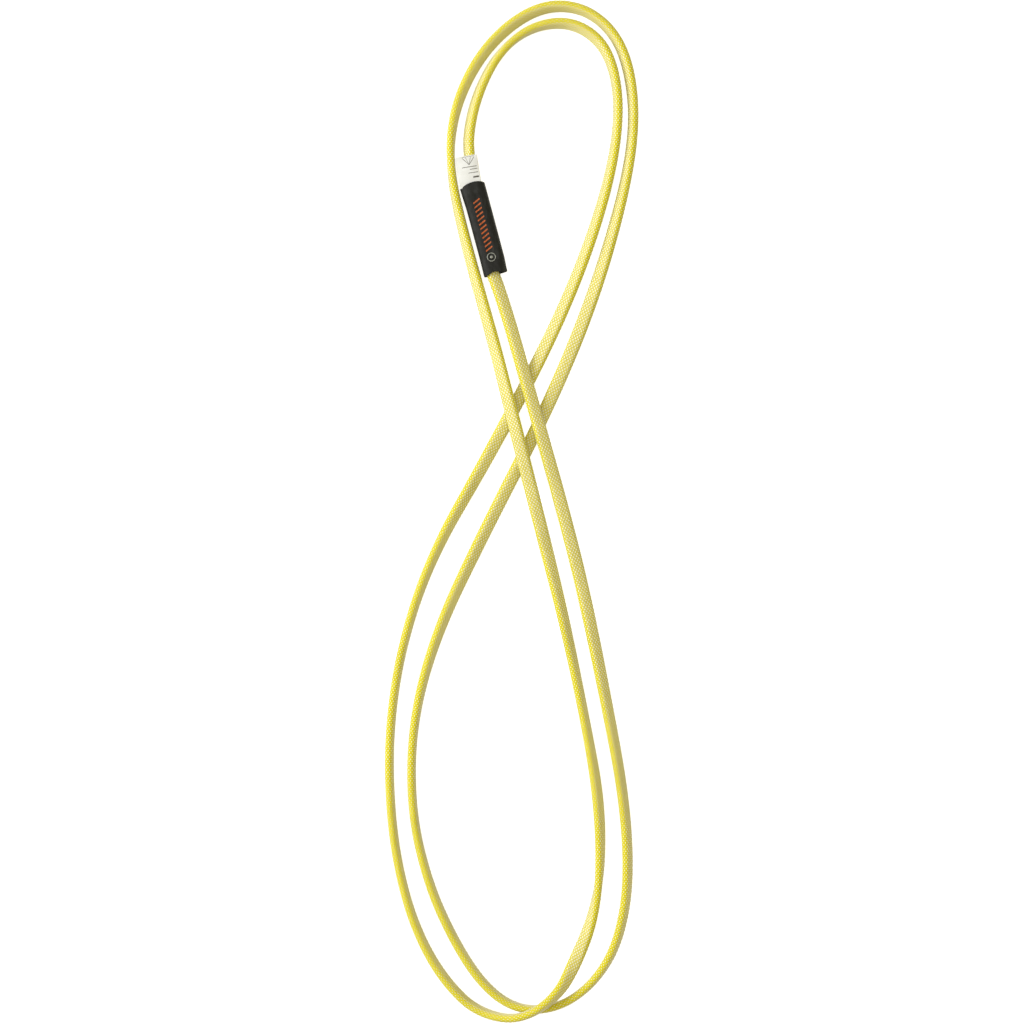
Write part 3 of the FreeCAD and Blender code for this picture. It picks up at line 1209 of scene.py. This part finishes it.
    def build(self, sheath: Material, core: Material) -> None:
        """Args:
            sheath: The braid's material.
            core: The core's material.
        """
        route = self.route()
        path = self.path(route)
        tree = self.braided_tube()
        shared = {
            "Route": route,
            "Round Length": self.round_length * MM,
            "Oval From": self.oval_from * MM,
            "Relief": self.relief * MM,
        }
        cover_settings = {**shared, "Pitch": self.braid_pitch * MM, "Unevenness": self.unevenness * MM}
        core_settings = {**shared, "Pitch": self.core_pitch * MM, "Unevenness": 0.0}
        wall = self.sheath_wall + self.relief
        cover = self.layer("braided_sheath", tree, {**cover_settings, "Finish": sheath}, self.columns, 0.0)
        inside = self.layer("core_yarns", tree, {**core_settings, "Finish": core}, self.core_columns, wall)
        bpy.data.objects.remove(route)
        steps = np.linalg.norm(np.diff(path, axis=0), axis=1)
        length = float(steps.sum())
        LOG.info("cord: %.3f m along its line, %d faces", length, len(cover.data.polygons))
        for piece in (cover, inside):
            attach(piece, "sling")
        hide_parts("cord_sheath")
        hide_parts("cord_core")
        tuple(self.line.point(14.0, -self.lap_offset, self.lap_height))


# --------------------------------------------------------------------------------------
# The sewn joint
# --------------------------------------------------------------------------------------


@dataclass
class SewnJoint:
    """What joins the two laps: the zigzag seam's two threads and the two melted cord ends."""

    line: SleeveLine
    cord: Cord
    seal_length: float = 1.5
    thread_diameter: float = 0.5
    stitch_advance: float = 1.35
    seam_low: float = 11.5
    seam_high: float = 38.5
    label_from: float = 32.0
    lock_height: float = 3.85
    needle_height: float = 7.0
    over_label: float = 0.3
    bobbin_height: float = 0.7

    def seal(self, name: str, station: float, offset: float, way: float, finish: Material) -> None:
        """Builds one melted cord end as a closed, slightly lumpy bead.

        Args:
            name: The piece's name.
            station: Where the cord is cut, in millimetres up the sleeve.
            offset: The lap's offset, in millimetres.
            way: 1 where the tip points up the sleeve, and -1 where it points down.
            finish: Its material.
        """
        columns, rings = 40, 16
        share = np.linspace(0.0, 1.0, rings)
        rise = np.sin(share * np.pi / 2)
        radii = self.cord.diameter / 2 * np.cos(share * np.pi / 2) ** 0.45
        radii *= 1.0 + 0.03 * np.sin(share * np.pi)
        around = np.arange(columns) * 2 * np.pi / columns
        lumps = 1.0 + 0.02 * np.sin(3 * around + 1.0) + 0.015 * np.sin(7 * around)
        rows = []
        for radius, height in zip(radii[:-1], rise[:-1]):
            reach = radius * (1 + (lumps - 1) * height)
            stations = np.full(columns, station + way * self.seal_length * height)
            across = offset + way * reach * np.cos(around)
            rows.append(self.line.points(stations, across, self.lock_height + reach * np.sin(around)))
        tip = np.array(self.line.point(station + way * self.seal_length, offset, self.lock_height))
        base = np.array(self.line.point(station, offset, self.lock_height))
        points = np.vstack(rows + [tip, base])
        faces: list[Sequence[int]] = list(closed_rings(rings - 1, columns))
        last = (rings - 2) * columns
        for column in range(columns):
            after = (column + 1) % columns
            faces.append((last + column, last + after, len(points) - 2))
            faces.append((after, column, len(points) - 1))
        piece = plain_mesh(name + "_bead", points, [face[::-1] for face in faces])
        piece.data.materials.append(finish)
        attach(piece, "sling")
        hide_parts(name)

    @staticmethod
    def stitch_row() -> Tree:
        """Builds the tree of a zigzag row: one twisted stitch with two legs, turned this way and that.

        Returns:
            The geometry tree.
        """
        inputs = {
            "Stitches": Kind.COUNT,
            "Advance": Kind.NUMBER,
            "Span": Kind.NUMBER,
            "Leg": Kind.NUMBER,
            "Radius": Kind.NUMBER,
            "Raised From": Kind.COUNT,
            "Raise": Kind.NUMBER,
            "Finish": Kind.MATERIAL,
        }
        graph, given, result = new_geometry("stitch_row", inputs)
        run = graph.times(given["Advance"], given["Advance"])
        across = graph.times(given["Span"], given["Span"])
        half = graph.times(graph.maths("SQRT", graph.maths("ADD", run, across)), 0.5)
        number = graph.geometry("InputIndex")
        feeds = {"Start": (-1.0, 0.0, 0.0), "End": (1.0, 0.0, 0.0)}
        line = graph.geometry("CurvePrimitiveLine", feeds)
        stitch = graph.geometry("ResampleCurve", {"Curve": line, "Count": 4}, mode="COUNT")
        is_end = graph.maths("GREATER_THAN", graph.maths("ABSOLUTE", graph.minus(number, 1.5)), 1.0)
        way = graph.maths("SIGN", graph.minus(number, 1.5))
        drop = graph.times(is_end, graph.times(given["Leg"], -1.0))
        bend = graph.join({0: graph.times(way, half), 2: drop})
        stitch = graph.geometry("SetPosition", {"Geometry": stitch, "Position": bend})
        feeds = {"Curve": stitch, "Radius": graph.times(given["Radius"], 2.0), "Limit Radius": True}
        fillet = graph.add("GeometryNodeFilletCurve", feeds)
        fillet.mode = "POLY"
        graph.feed(fillet.inputs["Count"], 6)
        feeds = {"Curve": fillet.outputs[0], "Length": graph.times(given["Radius"], 0.7)}
        stitch = graph.geometry("ResampleCurve", feeds, mode="LENGTH")
        along = graph.add("GeometryNodeSplineParameter").outputs["Length"]
        twist = graph.maths("DIVIDE", along, graph.times(given["Radius"], 0.9))
        stitch = graph.geometry("SetCurveTilt", {"Curve": stitch, "Tilt": twist})
        ply = graph.geometry("CurvePrimitiveCircle", {"Resolution": 12, "Radius": 1.0})
        lobe = graph.maths("COSINE", graph.times(number, math.pi / 2))
        lobe = graph.times(graph.maths("MULTIPLY_ADD", lobe, 0.16, 0.86), given["Radius"])
        place = graph.geometry("InputPosition")
        feeds = {"Geometry": ply, "Position": graph.scaled(place, lobe)}
        ply = graph.geometry("SetPosition", feeds)
        feeds = {"Curve": stitch, "Profile Curve": ply, "Fill Caps": True}
        stitch = graph.geometry("CurveToMesh", feeds)
        spacing = graph.join({1: given["Advance"]})
        row = graph.geometry("MeshLine", {"Count": given["Stitches"], "Offset": spacing})
        odd = graph.maths("MODULO", number, 2.0)
        lean = graph.maths("ARCTAN2", given["Advance"], given["Span"])
        swing = graph.times(lean, graph.maths("MULTIPLY_ADD", odd, -2.0, 1.0))
        turn = graph.join({2: swing})
        late = graph.maths("GREATER_THAN", number, graph.minus(given["Raised From"], 0.5))
        lift = graph.join({2: graph.times(late, given["Raise"])})
        row = graph.geometry("SetPosition", {"Geometry": row, "Offset": lift})
        feeds = {"Points": row, "Instance": stitch, "Rotation": turn}
        row = graph.geometry("InstanceOnPoints", feeds)
        finish_geometry(graph, result, row, given["Finish"])
        return graph.tree

    def seam(self, finish: Material) -> None:
        """Builds the needle thread over the laps and the bobbin thread under them.

        Args:
            finish: The threads' material.
        """
        tree = self.stitch_row()
        stitches = int((self.seam_high - self.seam_low) / self.stitch_advance)
        shared = {
            "Stitches": stitches,
            "Advance": self.stitch_advance * MM,
            "Span": 2 * self.cord.lap_offset * MM,
            "Leg": (self.needle_height - self.lock_height) * MM,
            "Radius": self.thread_diameter / 2 * MM,
            "Finish": finish,
        }
        raised_from = int((self.label_from - self.seam_low) / self.stitch_advance)
        needle = grow(
            "needle_stitches", tree, {**shared, "Raised From": raised_from, "Raise": self.over_label * MM}
        )
        bobbin = grow("bobbin_stitches", tree, {**shared, "Raised From": stitches + 1, "Raise": 0.0})
        start = Matrix.Translation((0.0, (self.seam_low + self.stitch_advance / 2) * MM, 0.0))
        over = Matrix.Translation((0.0, 0.0, self.needle_height * MM))
        under = Matrix.Translation((0.0, 0.0, self.bobbin_height * MM)) @ Matrix.Rotation(math.pi, 4, "Y")
        needle.data.transform(self.line.matrix() @ start @ over)
        bobbin.data.transform(self.line.matrix() @ start @ under)
        for piece, node in ((needle, "needle_thread"), (bobbin, "bobbin_thread")):
            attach(piece, "sling")
            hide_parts(node)
            LOG.info("%s: %d stitches", piece.name, stitches)

    def build(self, thread: Material, melted: Material) -> None:
        """Builds the seam and both melted ends.

        Args:
            thread: The threads' material.
            melted: The melted ends' material.
        """
        self.seam(thread)
        self.seal("lower_end_seal", self.cord.lower_cut, self.cord.lap_offset, -1.0, melted)
        self.seal("upper_end_seal", self.cord.upper_cut, -self.cord.lap_offset, 1.0, melted)


# --------------------------------------------------------------------------------------
# The sleeve
# --------------------------------------------------------------------------------------


@dataclass
class Sleeve:
    """Soft black tube over the sewn joint, with its printed row of dashes and ring."""

    line: SleeveLine
    wall: float = 0.45
    height: float = 8.05
    rings: int = 96
    columns: int = 112
    dash_count: int = 12
    dash_from: float = 13.6
    dash_pitch: float = 2.4
    dash_length: float = 3.9
    dash_width: float = 0.8
    dash_slant: float = 0.45
    ring_station: float = 9.0
    ring_radius: float = 2.35
    ring_line: float = 0.34
    dot_radius: float = 0.75
    dot_hole: float = 0.02
    print_offset: float = -0.3
    ink_height: float = 0.03
    squareness: float = 0.74
    groove_depth: float = 0.3
    groove_reach: float = 1.5
    left_dent: float = 0.35
    right_dent: float = 0.6
    ripple_height: float = 0.05
    upper_arch: float = 1.7
    upper_pull: float = 1.4
    lower_arch: float = 1.3

    def skin(self, inset: float) -> np.ndarray:
        """Points of one skin of the tube, ring by ring.

        Args:
            inset: How far the skin is inside the outer one, in millimetres.

        Returns:
            Points in metres, (rings x columns) rows.
        """
        share = np.linspace(0.0, 1.0, self.rings)[:, None]
        around = (np.arange(self.columns) * 2 * np.pi / self.columns)[None, :]
        station = SLEEVE_LENGTH * share
        left = eased(station, [0, 12, 36, 50], [-6.75, -6.6, -6.62, -7.1]) + inset
        right = eased(station, [0, 9, 30, 50], [6.15, 6.55, 6.6, 6.6]) - inset
        half = (right - left) / 2
        middle = (right + left) / 2
        cosine, sine = np.cos(around), np.sin(around)
        across = middle + half * np.sign(cosine) * np.abs(cosine) ** self.squareness
        deep = (self.height / 2 - inset) * np.sign(sine) * np.abs(sine) ** self.squareness
        top = np.clip(sine, 0.0, 1.0) ** 0.5
        groove = self.groove_depth * np.exp(-(across / self.groove_reach) ** 2)
        groove = groove * eased(station, [0, 10, 40, 48], [0, 1, 1, 0])
        empty_left = eased(station, [41, 49], [0, 1]) * eased(across, [-6.5, -2.0], [1, 0])
        empty_right = eased(station, [1, 9], [1, 0]) * eased(across, [2.5, 6.0], [0, 1])
        dents = top * (groove + self.left_dent * empty_left + self.right_dent * empty_right)
        ripple = self.ripple_height * np.sin(station * 0.9 + 2.2 * across) * np.sin(station * 0.37 + 1.0)
        heights = self.height / 2 + deep - dents + top * ripple
        upper_arch = self.upper_arch * np.clip(1 - ((across - 0.5) / 7.4) ** 2, 0, 1) * top
        lower_arch = self.lower_arch * np.exp(-((across + 1.0) / 2.8) ** 2) * top
        upper_shift = eased(share, [0.55, 1.0], [0, 1]) * (upper_arch - self.upper_pull)
        stations = station + (upper_shift + eased(share, [0.0, 0.4], [1, 0]) * lower_arch)
        flat = [np.broadcast_to(part, across.shape).ravel() for part in (stations, across, heights)]
        return self.line.points(*flat)

    def tube(self, finish: Material) -> Piece:
        """Builds the tube as one closed skin, rounded over at both rims.

        Args:
            finish: The rubber.

        Returns:
            The tube.
        """
        outer = self.skin(0.0).reshape(self.rings, self.columns, 3)
        inner = self.skin(self.wall).reshape(self.rings, self.columns, 3)
        outward = np.array(self.line.up)[None, :] * (self.wall * MM)
        upper_rim, lower_rim = [], []
        for turn in np.radians([30.0, 60.0, 90.0, 120.0, 150.0]):
            share = (1 - math.cos(turn)) / 2
            bulge = outward * (0.45 * math.sin(turn))
            upper_rim.append(outer[-1] * (1 - share) + inner[-1] * share + bulge)
            lower_rim.append(inner[0] * (1 - share) + outer[0] * share - bulge)
        loops = list(outer) + upper_rim + list(inner[::-1]) + lower_rim
        count = len(loops)
        faces = []
        for face in closed_rings(count + 1, self.columns):
            faces.append(tuple(number % (count * self.columns) for number in face))
        piece = plain_mesh("rubber_sleeve", np.vstack(loops), faces)
        piece.data.materials.append(finish)
        return piece

    @staticmethod
    def mark_row() -> Tree:
        """Builds the tree of a printed row: slanted dashes, laid down on the sleeve from above.

        Returns:
            The geometry tree.
        """
        inputs = {
            "Sleeve": Kind.OBJECT,
            "Count": Kind.COUNT,
            "Start": Kind.VECTOR,
            "Step": Kind.VECTOR,
            "Turn": Kind.NUMBER,
            "Slant": Kind.NUMBER,
            "Length": Kind.NUMBER,
            "Width": Kind.NUMBER,
            "Ink": Kind.NUMBER,
            "Finish": Kind.MATERIAL,
        }
        graph, given, result = new_geometry("mark_row", inputs)
        feeds = {"Size X": given["Length"], "Size Y": given["Width"], "Vertices X": 12, "Vertices Y": 4}
        dash = graph.geometry("MeshGrid", feeds)
        place = graph.geometry("InputPosition")
        right, above, _ = graph.split(place)
        sheared = graph.maths("MULTIPLY_ADD", right, given["Slant"], above)
        feeds = {"Geometry": dash, "Position": graph.join({0: right, 1: sheared})}
        dash = graph.geometry("SetPosition", feeds)
        feeds = {"Count": given["Count"], "Start Location": given["Start"], "Offset": given["Step"]}
        row = graph.geometry("MeshLine", feeds)
        turn = graph.join({2: given["Turn"]})
        row = graph.geometry("InstanceOnPoints", {"Points": row, "Instance": dash, "Rotation": turn})
        mesh = graph.geometry("RealizeInstances", {0: row})
        target = graph.add("GeometryNodeObjectInfo", {"Object": given["Sleeve"]}).outputs["Geometry"]
        feeds = {"Target Geometry": target, "Source Position": place, "Ray Direction": (0.0, 0.0, -1.0)}
        hit = graph.add("GeometryNodeRaycast", {**feeds, "Ray Length": 1.0})
        sunk = graph.times(given["Ink"], -1.0)
        lifted = graph.scaled(hit.outputs["Hit Normal"], sunk)
        laid = graph.vector("ADD", hit.outputs["Hit Position"], lifted)
        mesh = graph.geometry("SetPosition", {"Geometry": mesh, "Position": laid})
        depth = graph.times(given["Ink"], 2.0)
        feeds = {"Mesh": mesh, "Offset Scale": depth, "Individual": False}
        thick = graph.add("GeometryNodeExtrudeMesh", feeds)
        flip = graph.geometry("FlipFaces", {"Mesh": mesh})
        joined = graph.add("GeometryNodeJoinGeometry")
        graph.tree.links.new(thick.outputs["Mesh"], joined.inputs[0])
        graph.tree.links.new(flip, joined.inputs[0])
        merged = graph.geometry("MergeByDistance", {"Geometry": joined.outputs[0], "Distance": 1e-6})
        finish_geometry(graph, result, merged, given["Finish"], smooth=False)
        return graph.tree

    def dashes(self, tube: Piece, finish: Material) -> Piece:
        """Prints the row of slanted dashes up the sleeve.

        Args:
            tube: The sleeve that they lie on.
            finish: Their ink.

        Returns:
            The dashes.
        """
        settings = {
            "Sleeve": tube,
            "Count": self.dash_count,
            "Start": self.line.point(self.dash_from, self.print_offset, PRINT_FROM),
            "Step": self.line.up * (self.dash_pitch * MM),
            "Turn": math.atan2(self.line.across.y, self.line.across.x),
            "Slant": self.dash_slant,
            "Length": self.dash_length * MM,
            "Width": self.dash_width * MM,
            "Ink": self.ink_height * MM,
            "Finish": finish,
        }
        return grow("printed_dashes", self.mark_row(), settings)

    def ring_mark(self, tube: Piece, finish: Material) -> Piece:
        """Prints a plain ring with a dot in it near the lower mouth.

        Args:
            tube: The sleeve that it lies on.
            finish: Its ink.

        Returns:
            The ring.
        """
        outlines = [(self.ring_radius, self.ring_radius - self.ring_line), (self.dot_radius, self.dot_hole)]
        segments = 48
        places = []
        faces = []
        for outer, inner in outlines:
            for radius in (outer, inner):
                for step in range(segments):
                    turn = 2 * math.pi * step / segments
                    station = self.ring_station + radius * math.sin(turn)
                    across = self.print_offset + radius * math.cos(turn)
                    places.append(self.line.point(station, across, PRINT_FROM))
        under = len(places)
        for shape in range(len(outlines)):
            base = shape * 2 * segments
            for step in range(segments):
                after = (step + 1) % segments
                a, b = base + step, base + after
                c, d = b + segments, a + segments
                faces.append((a, b, c, d))
                faces.append((d + under, c + under, b + under, a + under))
                faces.append((b, a, a + under, b + under))
                faces.append((d, c, c + under, d + under))
        piece = plain_mesh("printed_ring", printed_points(tube, places, self.ink_height), faces)
        piece.data.materials.append(finish)
        return piece

    def build(self, rubber: Material, orange: Material, grey: Material) -> None:
        """Builds the tube and its print.

        Args:
            rubber: The tube's material.
            orange: The dashes' ink.
            grey: The ring's ink.
        """
        tube = self.tube(rubber)
        dashes = self.dashes(tube, orange)
        ring = self.ring_mark(tube, grey)
        for piece in (tube, dashes, ring):
            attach(piece, "sleeve_body")
        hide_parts("sleeve")
        LOG.info("sleeve: %d faces, %d dashes", len(tube.data.polygons), self.dash_count)


# --------------------------------------------------------------------------------------
# The label
# --------------------------------------------------------------------------------------


@dataclass
class Label:
    """White tape caught under the seam, whose free end shows past the sleeve's upper mouth."""

    line: SleeveLine
    width: float = 12.0
    thickness: float = 0.25
    tucked: float = 19.5
    showing: float = 15.0
    lean: float = 6.0
    fold_station: float = 51.0
    tuck_height: float = 6.92
    shift: float = -1.1
    lap_offset: float = 3.0
    lap_radius: float = 3.05
    strand_offset: float = 1.9
    drape_rise: float = 0.5
    drape_fall: float = 0.75
    wave_height: float = 0.05
    curl_height: float = 0.4
    selvedge_height: float = 0.06
    ink_height: float = 0.015
    rows: int = 120
    columns: int = 30

    def surface(self) -> tuple[np.ndarray, np.ndarray, np.ndarray]:
        """The tape's lower face as stations, offsets and heights in millimetres.

        Returns:
            Three (rows x columns) arrays.
        """
        along = np.linspace(-self.tucked, self.showing, self.rows)[:, None]
        side = np.linspace(-self.width / 2, self.width / 2, self.columns)[None, :]
        swing = eased(along, [-2.0, 3.0], [0, 1]) * math.radians(self.lean)
        free = np.clip(along, 0.0, None)
        reach = free * math.cos(math.radians(self.lean))
        stations = SLEEVE_LENGTH + np.minimum(along, 0.0) + reach - side * np.sin(swing)
        offsets = side * np.cos(swing) + free * math.sin(math.radians(self.lean)) + self.shift
        wrap = np.clip(np.abs(side) - self.lap_offset, 0.0, None) / self.lap_radius
        fitted = np.sign(side) * (np.minimum(np.abs(side), self.lap_offset) + self.lap_radius * np.sin(wrap))
        in_sleeve = eased(along, [-4.0, 1.5], [1, 0])
        offsets = offsets * (1 - in_sleeve) + fitted * in_sleeve
        drop = self.lap_radius * (1 - np.cos(wrap)) * in_sleeve
        hang = eased(along, [0.0, 6.0], [0, 1])
        from_strand = (offsets - self.strand_offset) / (self.width / 2)
        drape = self.drape_rise - self.drape_fall * from_strand**2
        curl = self.curl_height * eased(along, [9.0, self.showing], [0, 1]) * (side / 6.0 + 0.3) ** 2
        wave = self.wave_height * np.sin(along * 0.7)
        heights = self.tuck_height - drop + hang * (drape + wave) + curl
        return stations, offsets, heights

    def tape(self, finish: Material) -> Piece:
        """Builds the tape as a closed thin sheet with thicker woven edges.

        Args:
            finish: The tape's material.

        Returns:
            The tape.
        """
        stations, offsets, heights = self.surface()
        side = np.linspace(-1.0, 1.0, self.columns)[None, :]
        selvedge = self.selvedge_height * eased(np.abs(side), [0.9, 0.97], [0, 1])
        low = self.line.points(stations.ravel(), offsets.ravel(), (heights - selvedge / 2).ravel())
        top = self.line.points(
            stations.ravel(), offsets.ravel(), (heights + self.thickness + selvedge / 2).ravel()
        )
        count = self.rows * self.columns
        faces = []
        for row in range(self.rows - 1):
            for column in range(self.columns - 1):
                a = row * self.columns + column
                b, c, d = a + 1, a + 1 + self.columns, a + self.columns
                faces.append((a + count, b + count, c + count, d + count))
                faces.append((d, c, b, a))
        edge = list(range(self.columns))
        edge += [(row + 1) * self.columns - 1 for row in range(1, self.rows)]
        edge += [count - 1 - column for column in range(1, self.columns)]
        edge += [row * self.columns for row in range(self.rows - 2, 0, -1)]
        for start, end in zip(edge, edge[1:] + edge[:1]):
            faces.append((start, end, end + count, start + count))
        piece = plain_mesh("tape_label", np.vstack([low, top]), faces)
        self.lay_map(piece.data, count)
        piece.data.materials.append(finish)
        return piece

    def lay_map(self, mesh: bpy.types.Mesh, count: int) -> None:
        """Gives the tape a flat map in metres across and along it.

        Args:
            mesh: The tape's mesh.
            count: How many points each face of the tape has.
        """
        corners = np.zeros(len(mesh.loops), np.int32)
        mesh.loops.foreach_get("vertex_index", corners)
        corners %= count
        across = (corners % self.columns) / (self.columns - 1) * self.width
        along = (corners // self.columns) / (self.rows - 1) * (self.tucked + self.showing)
        layer = mesh.uv_layers.new(name="Tape")
        layer.uv.foreach_set("vector", (np.stack([across, along], 1) * MM).astype(np.float32).ravel())

    def ink_strokes(self, tape: Piece, finish: Material) -> Piece:
        """Prints the label's plain marks: an open fan above three lines and a short thick one.

        Args:
            tape: The label that they lie on.
            finish: Their ink.

        Returns:
            The marks.
        """
        strokes = [
            ((-2.2, 14.0), (1.0, 10.0), 0.28),
            ((4.2, 13.8), (1.0, 10.0), 0.28),
            ((-0.4, 14.2), (1.0, 10.0), 0.2),
            ((2.4, 14.2), (1.0, 10.0), 0.2),
            ((-2.2, 14.4), (4.2, 14.4), 0.22),
            ((-3.0, 8.9), (4.9, 8.9), 0.34),
            ((1.0, 7.5), (5.1, 7.5), 0.34),
            ((0.0, 5.6), (5.2, 5.6), 0.34),
            ((2.2, 3.2), (5.3, 3.2), 0.9),
        ]
        steps = 8
        places = []
        for (x0, y0), (x1, y1), wide in strokes:
            run = math.hypot(x1 - x0, y1 - y0)
            for edge in (-0.5, 0.5):
                for step in range(steps):
                    share = step / (steps - 1)
                    x = x0 + (x1 - x0) * share - (y1 - y0) / run * wide * edge
                    y = y0 + (y1 - y0) * share + (x1 - x0) / run * wide * edge
                    places.append((x, y))
        swing = math.radians(self.lean)
        starts = []
        for x, y in places:
            station = SLEEVE_LENGTH + y * math.cos(swing) - x * math.sin(swing)
            offset = x * math.cos(swing) + y * math.sin(swing) + self.shift
            starts.append(self.line.point(station, offset, PRINT_FROM))
        under = len(places)
        faces = []
        for stroke in range(len(strokes)):
            base = stroke * 2 * steps
            loop = [base + step for step in range(steps)]
            loop += [base + 2 * steps - 1 - step for step in range(steps)]
            for step in range(steps - 1):
                a, b = base + step, base + step + 1
                faces.append((a, b, b + steps, a + steps))
                faces.append((a + steps + under, b + steps + under, b + under, a + under))
            for start, end in zip(loop, loop[1:] + loop[:1]):
                faces.append((end, start, start + under, end + under))
        piece = plain_mesh("label_print", printed_points(tape, starts, self.ink_height), faces)
        piece.data.materials.append(finish)
        return piece

    def build(self, woven: Material, ink: Material) -> None:
        """Builds the tape and its print.

        Args:
            woven: The tape's material.
            ink: The print's material.
        """
        tape = self.tape(woven)
        print_marks = self.ink_strokes(tape, ink)
        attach(print_marks, "label_body")
        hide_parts("label_tuck", "label_tab")
        tuple(self.line.point(self.fold_station - 0.6, 0.0, self.tuck_height))
        tuple(self.line.point(self.fold_station + 0.7, 0.0, self.tuck_height))
        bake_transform(tape)
        LOG.info("label: %.1f x %.1f mm of tape", self.width, self.tucked + self.showing)


# --------------------------------------------------------------------------------------
# The studio
# --------------------------------------------------------------------------------------


@dataclass(frozen=True)
class Lamp:
    """A square softbox that points at the middle of the sling."""

    name: str
    place: tuple[float, float, float]
    size: float
    power: float
    colour: Colour = (1.0, 1.0, 1.0)

    def hang(self, target: Vector) -> None:
        """Adds the lamp.

        Args:
            target: What it points at.
        """
        data = bpy.data.lights.new(self.name, "AREA")
        data.shape = "SQUARE"
        data.size = self.size
        data.energy = self.power
        data.color = self.colour
        lamp = bpy.data.objects.new(self.name, data)
        lamp.location = self.place
        lamp.rotation_mode = "QUATERNION"
        lamp.rotation_quaternion = (target - Vector(self.place)).to_track_quat("-Z", "Y")
        bpy.context.scene.collection.objects.link(lamp)


@dataclass
class Studio:
    """Pale floor, soft light from the left and above, and a camera that looks straight down."""

    view_side: float = 0.5503
    lens: float = 85.0
    sensor: float = 36.0
    focus_height: float = 0.003
    middle: tuple[float, float] = (0.0003, -0.0003)
    floor_side: float = 7.0
    world_strength: float = 0.58
    world_colour: Colour = (1.0, 0.91, 0.60)
    floor_colour: Colour = (0.85, 0.85, 0.85)

    def camera(self) -> None:
        """Adds the camera and makes it the scene's own."""
        data = bpy.data.cameras.new("overhead")
        data.lens = self.lens
        data.sensor_width = self.sensor
        distance = self.view_side * self.lens / self.sensor
        camera = bpy.data.objects.new("overhead", data)
        camera.location = (*self.middle, distance + self.focus_height)
        bpy.context.scene.collection.objects.link(camera)
        bpy.context.scene.camera = camera

    def floor(self) -> None:
        """Adds the floor, which glows a little so that shadows on it stay pale."""
        half = self.floor_side / 2
        corners = np.array([(-half, -half, 0.0), (half, -half, 0.0), (half, half, 0.0), (-half, half, 0.0)])
        floor = plain_mesh("floor", corners - (0.0, 0.0, 0.0002), [(0, 1, 2, 3)])
        material, _, shader = Surface(roughness=0.9, specular=0.1).start("floor_paper")
        shader.inputs["Base Color"].default_value = (*self.floor_colour, 1.0)
        shader.inputs["Emission Color"].default_value = (1.0, 1.0, 1.0, 1.0)
        shader.inputs["Emission Strength"].default_value = 0.8
        floor.data.materials.append(material)
        floor.visible_diffuse = False

    def build(self) -> None:
        """Builds the whole studio."""
        world = bpy.data.worlds.new("studio")
        bpy.context.scene.world = world
        world.use_nodes = True
        backdrop = world.node_tree.nodes["Background"]
        backdrop.inputs["Color"].default_value = (*self.world_colour, 1.0)
        backdrop.inputs["Strength"].default_value = self.world_strength
        target = Vector((0.0, 0.0, 0.0))
        Lamp("key_left", (-1.5, 0.35, 0.9), 0.9, 24.5).hang(target)
        Lamp("overhead_soft", (-0.3, 0.3, 2.2), 1.6, 11.5, (1.0, 0.97, 0.9)).hang(target)
        bpy.context.scene.view_settings.view_transform = "Standard"
        self.floor()
        self.camera()


# --------------------------------------------------------------------------------------
# The whole
# --------------------------------------------------------------------------------------


def main() -> None:
    """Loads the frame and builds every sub-assembly round it."""
    logging.basicConfig(level=logging.INFO, format="%(name)s: %(message)s")
    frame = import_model()
    line = SleeveLine.from_frame(frame)
    effects = SharedEffects()

    cord = Cord(line)
    braid = BraidFinish(
        "braided_sheath",
        columns=cord.columns,
        cream=(0.90, 0.90, 0.66),
        yellow=(0.74, 0.65, 0.10),
        edge_yellow=(0.75, 0.67, 0.0),
    )
    core_yarn = YarnFinish(
        "core_yarn", (0.86, 0.85, 0.78), (0.78, 0.76, 0.66), 2600.0, Surface(roughness=0.6, sheen=0.2)
    )
    sewing_thread = YarnFinish(
        "sewing_thread", (0.84, 0.80, 0.22), (0.72, 0.68, 0.12), 6500.0, Surface(roughness=0.45, sheen=0.2)
    )
    cord.build(braid.material(effects), core_yarn.material(effects))

    melted = MeltedFinish("melted_end", colour=(0.62, 0.52, 0.07), burnt=(0.24, 0.15, 0.03))
    SewnJoint(line, cord).build(sewing_thread.material(effects), melted.material(effects))

    rubber = RubberFinish("matt_rubber", colour=(0.007, 0.008, 0.009), dusty=(0.022, 0.024, 0.027))
    orange = InkFinish("orange_ink", colour=(0.47, 0.09, 0.012), worn=(0.16, 0.04, 0.012))
    grey = InkFinish("grey_ink", colour=(0.36, 0.38, 0.38), worn=(0.1, 0.1, 0.1))
    lean = math.atan2(-line.up.x, line.up.y)
    Sleeve(line).build(rubber.material(effects, lean), orange.material(effects), grey.material(effects))

    tape = TapeFinish("woven_tape", (0.74, 0.77, 0.84), (0.66, 0.68, 0.73), 1900.0)
    dark = InkFinish("label_ink", colour=(0.08, 0.08, 0.085), worn=(0.3, 0.3, 0.3))
    Label(line).build(tape.material(effects), dark.material(effects))

    Studio().build()


if __name__ == "__main__":
    main()
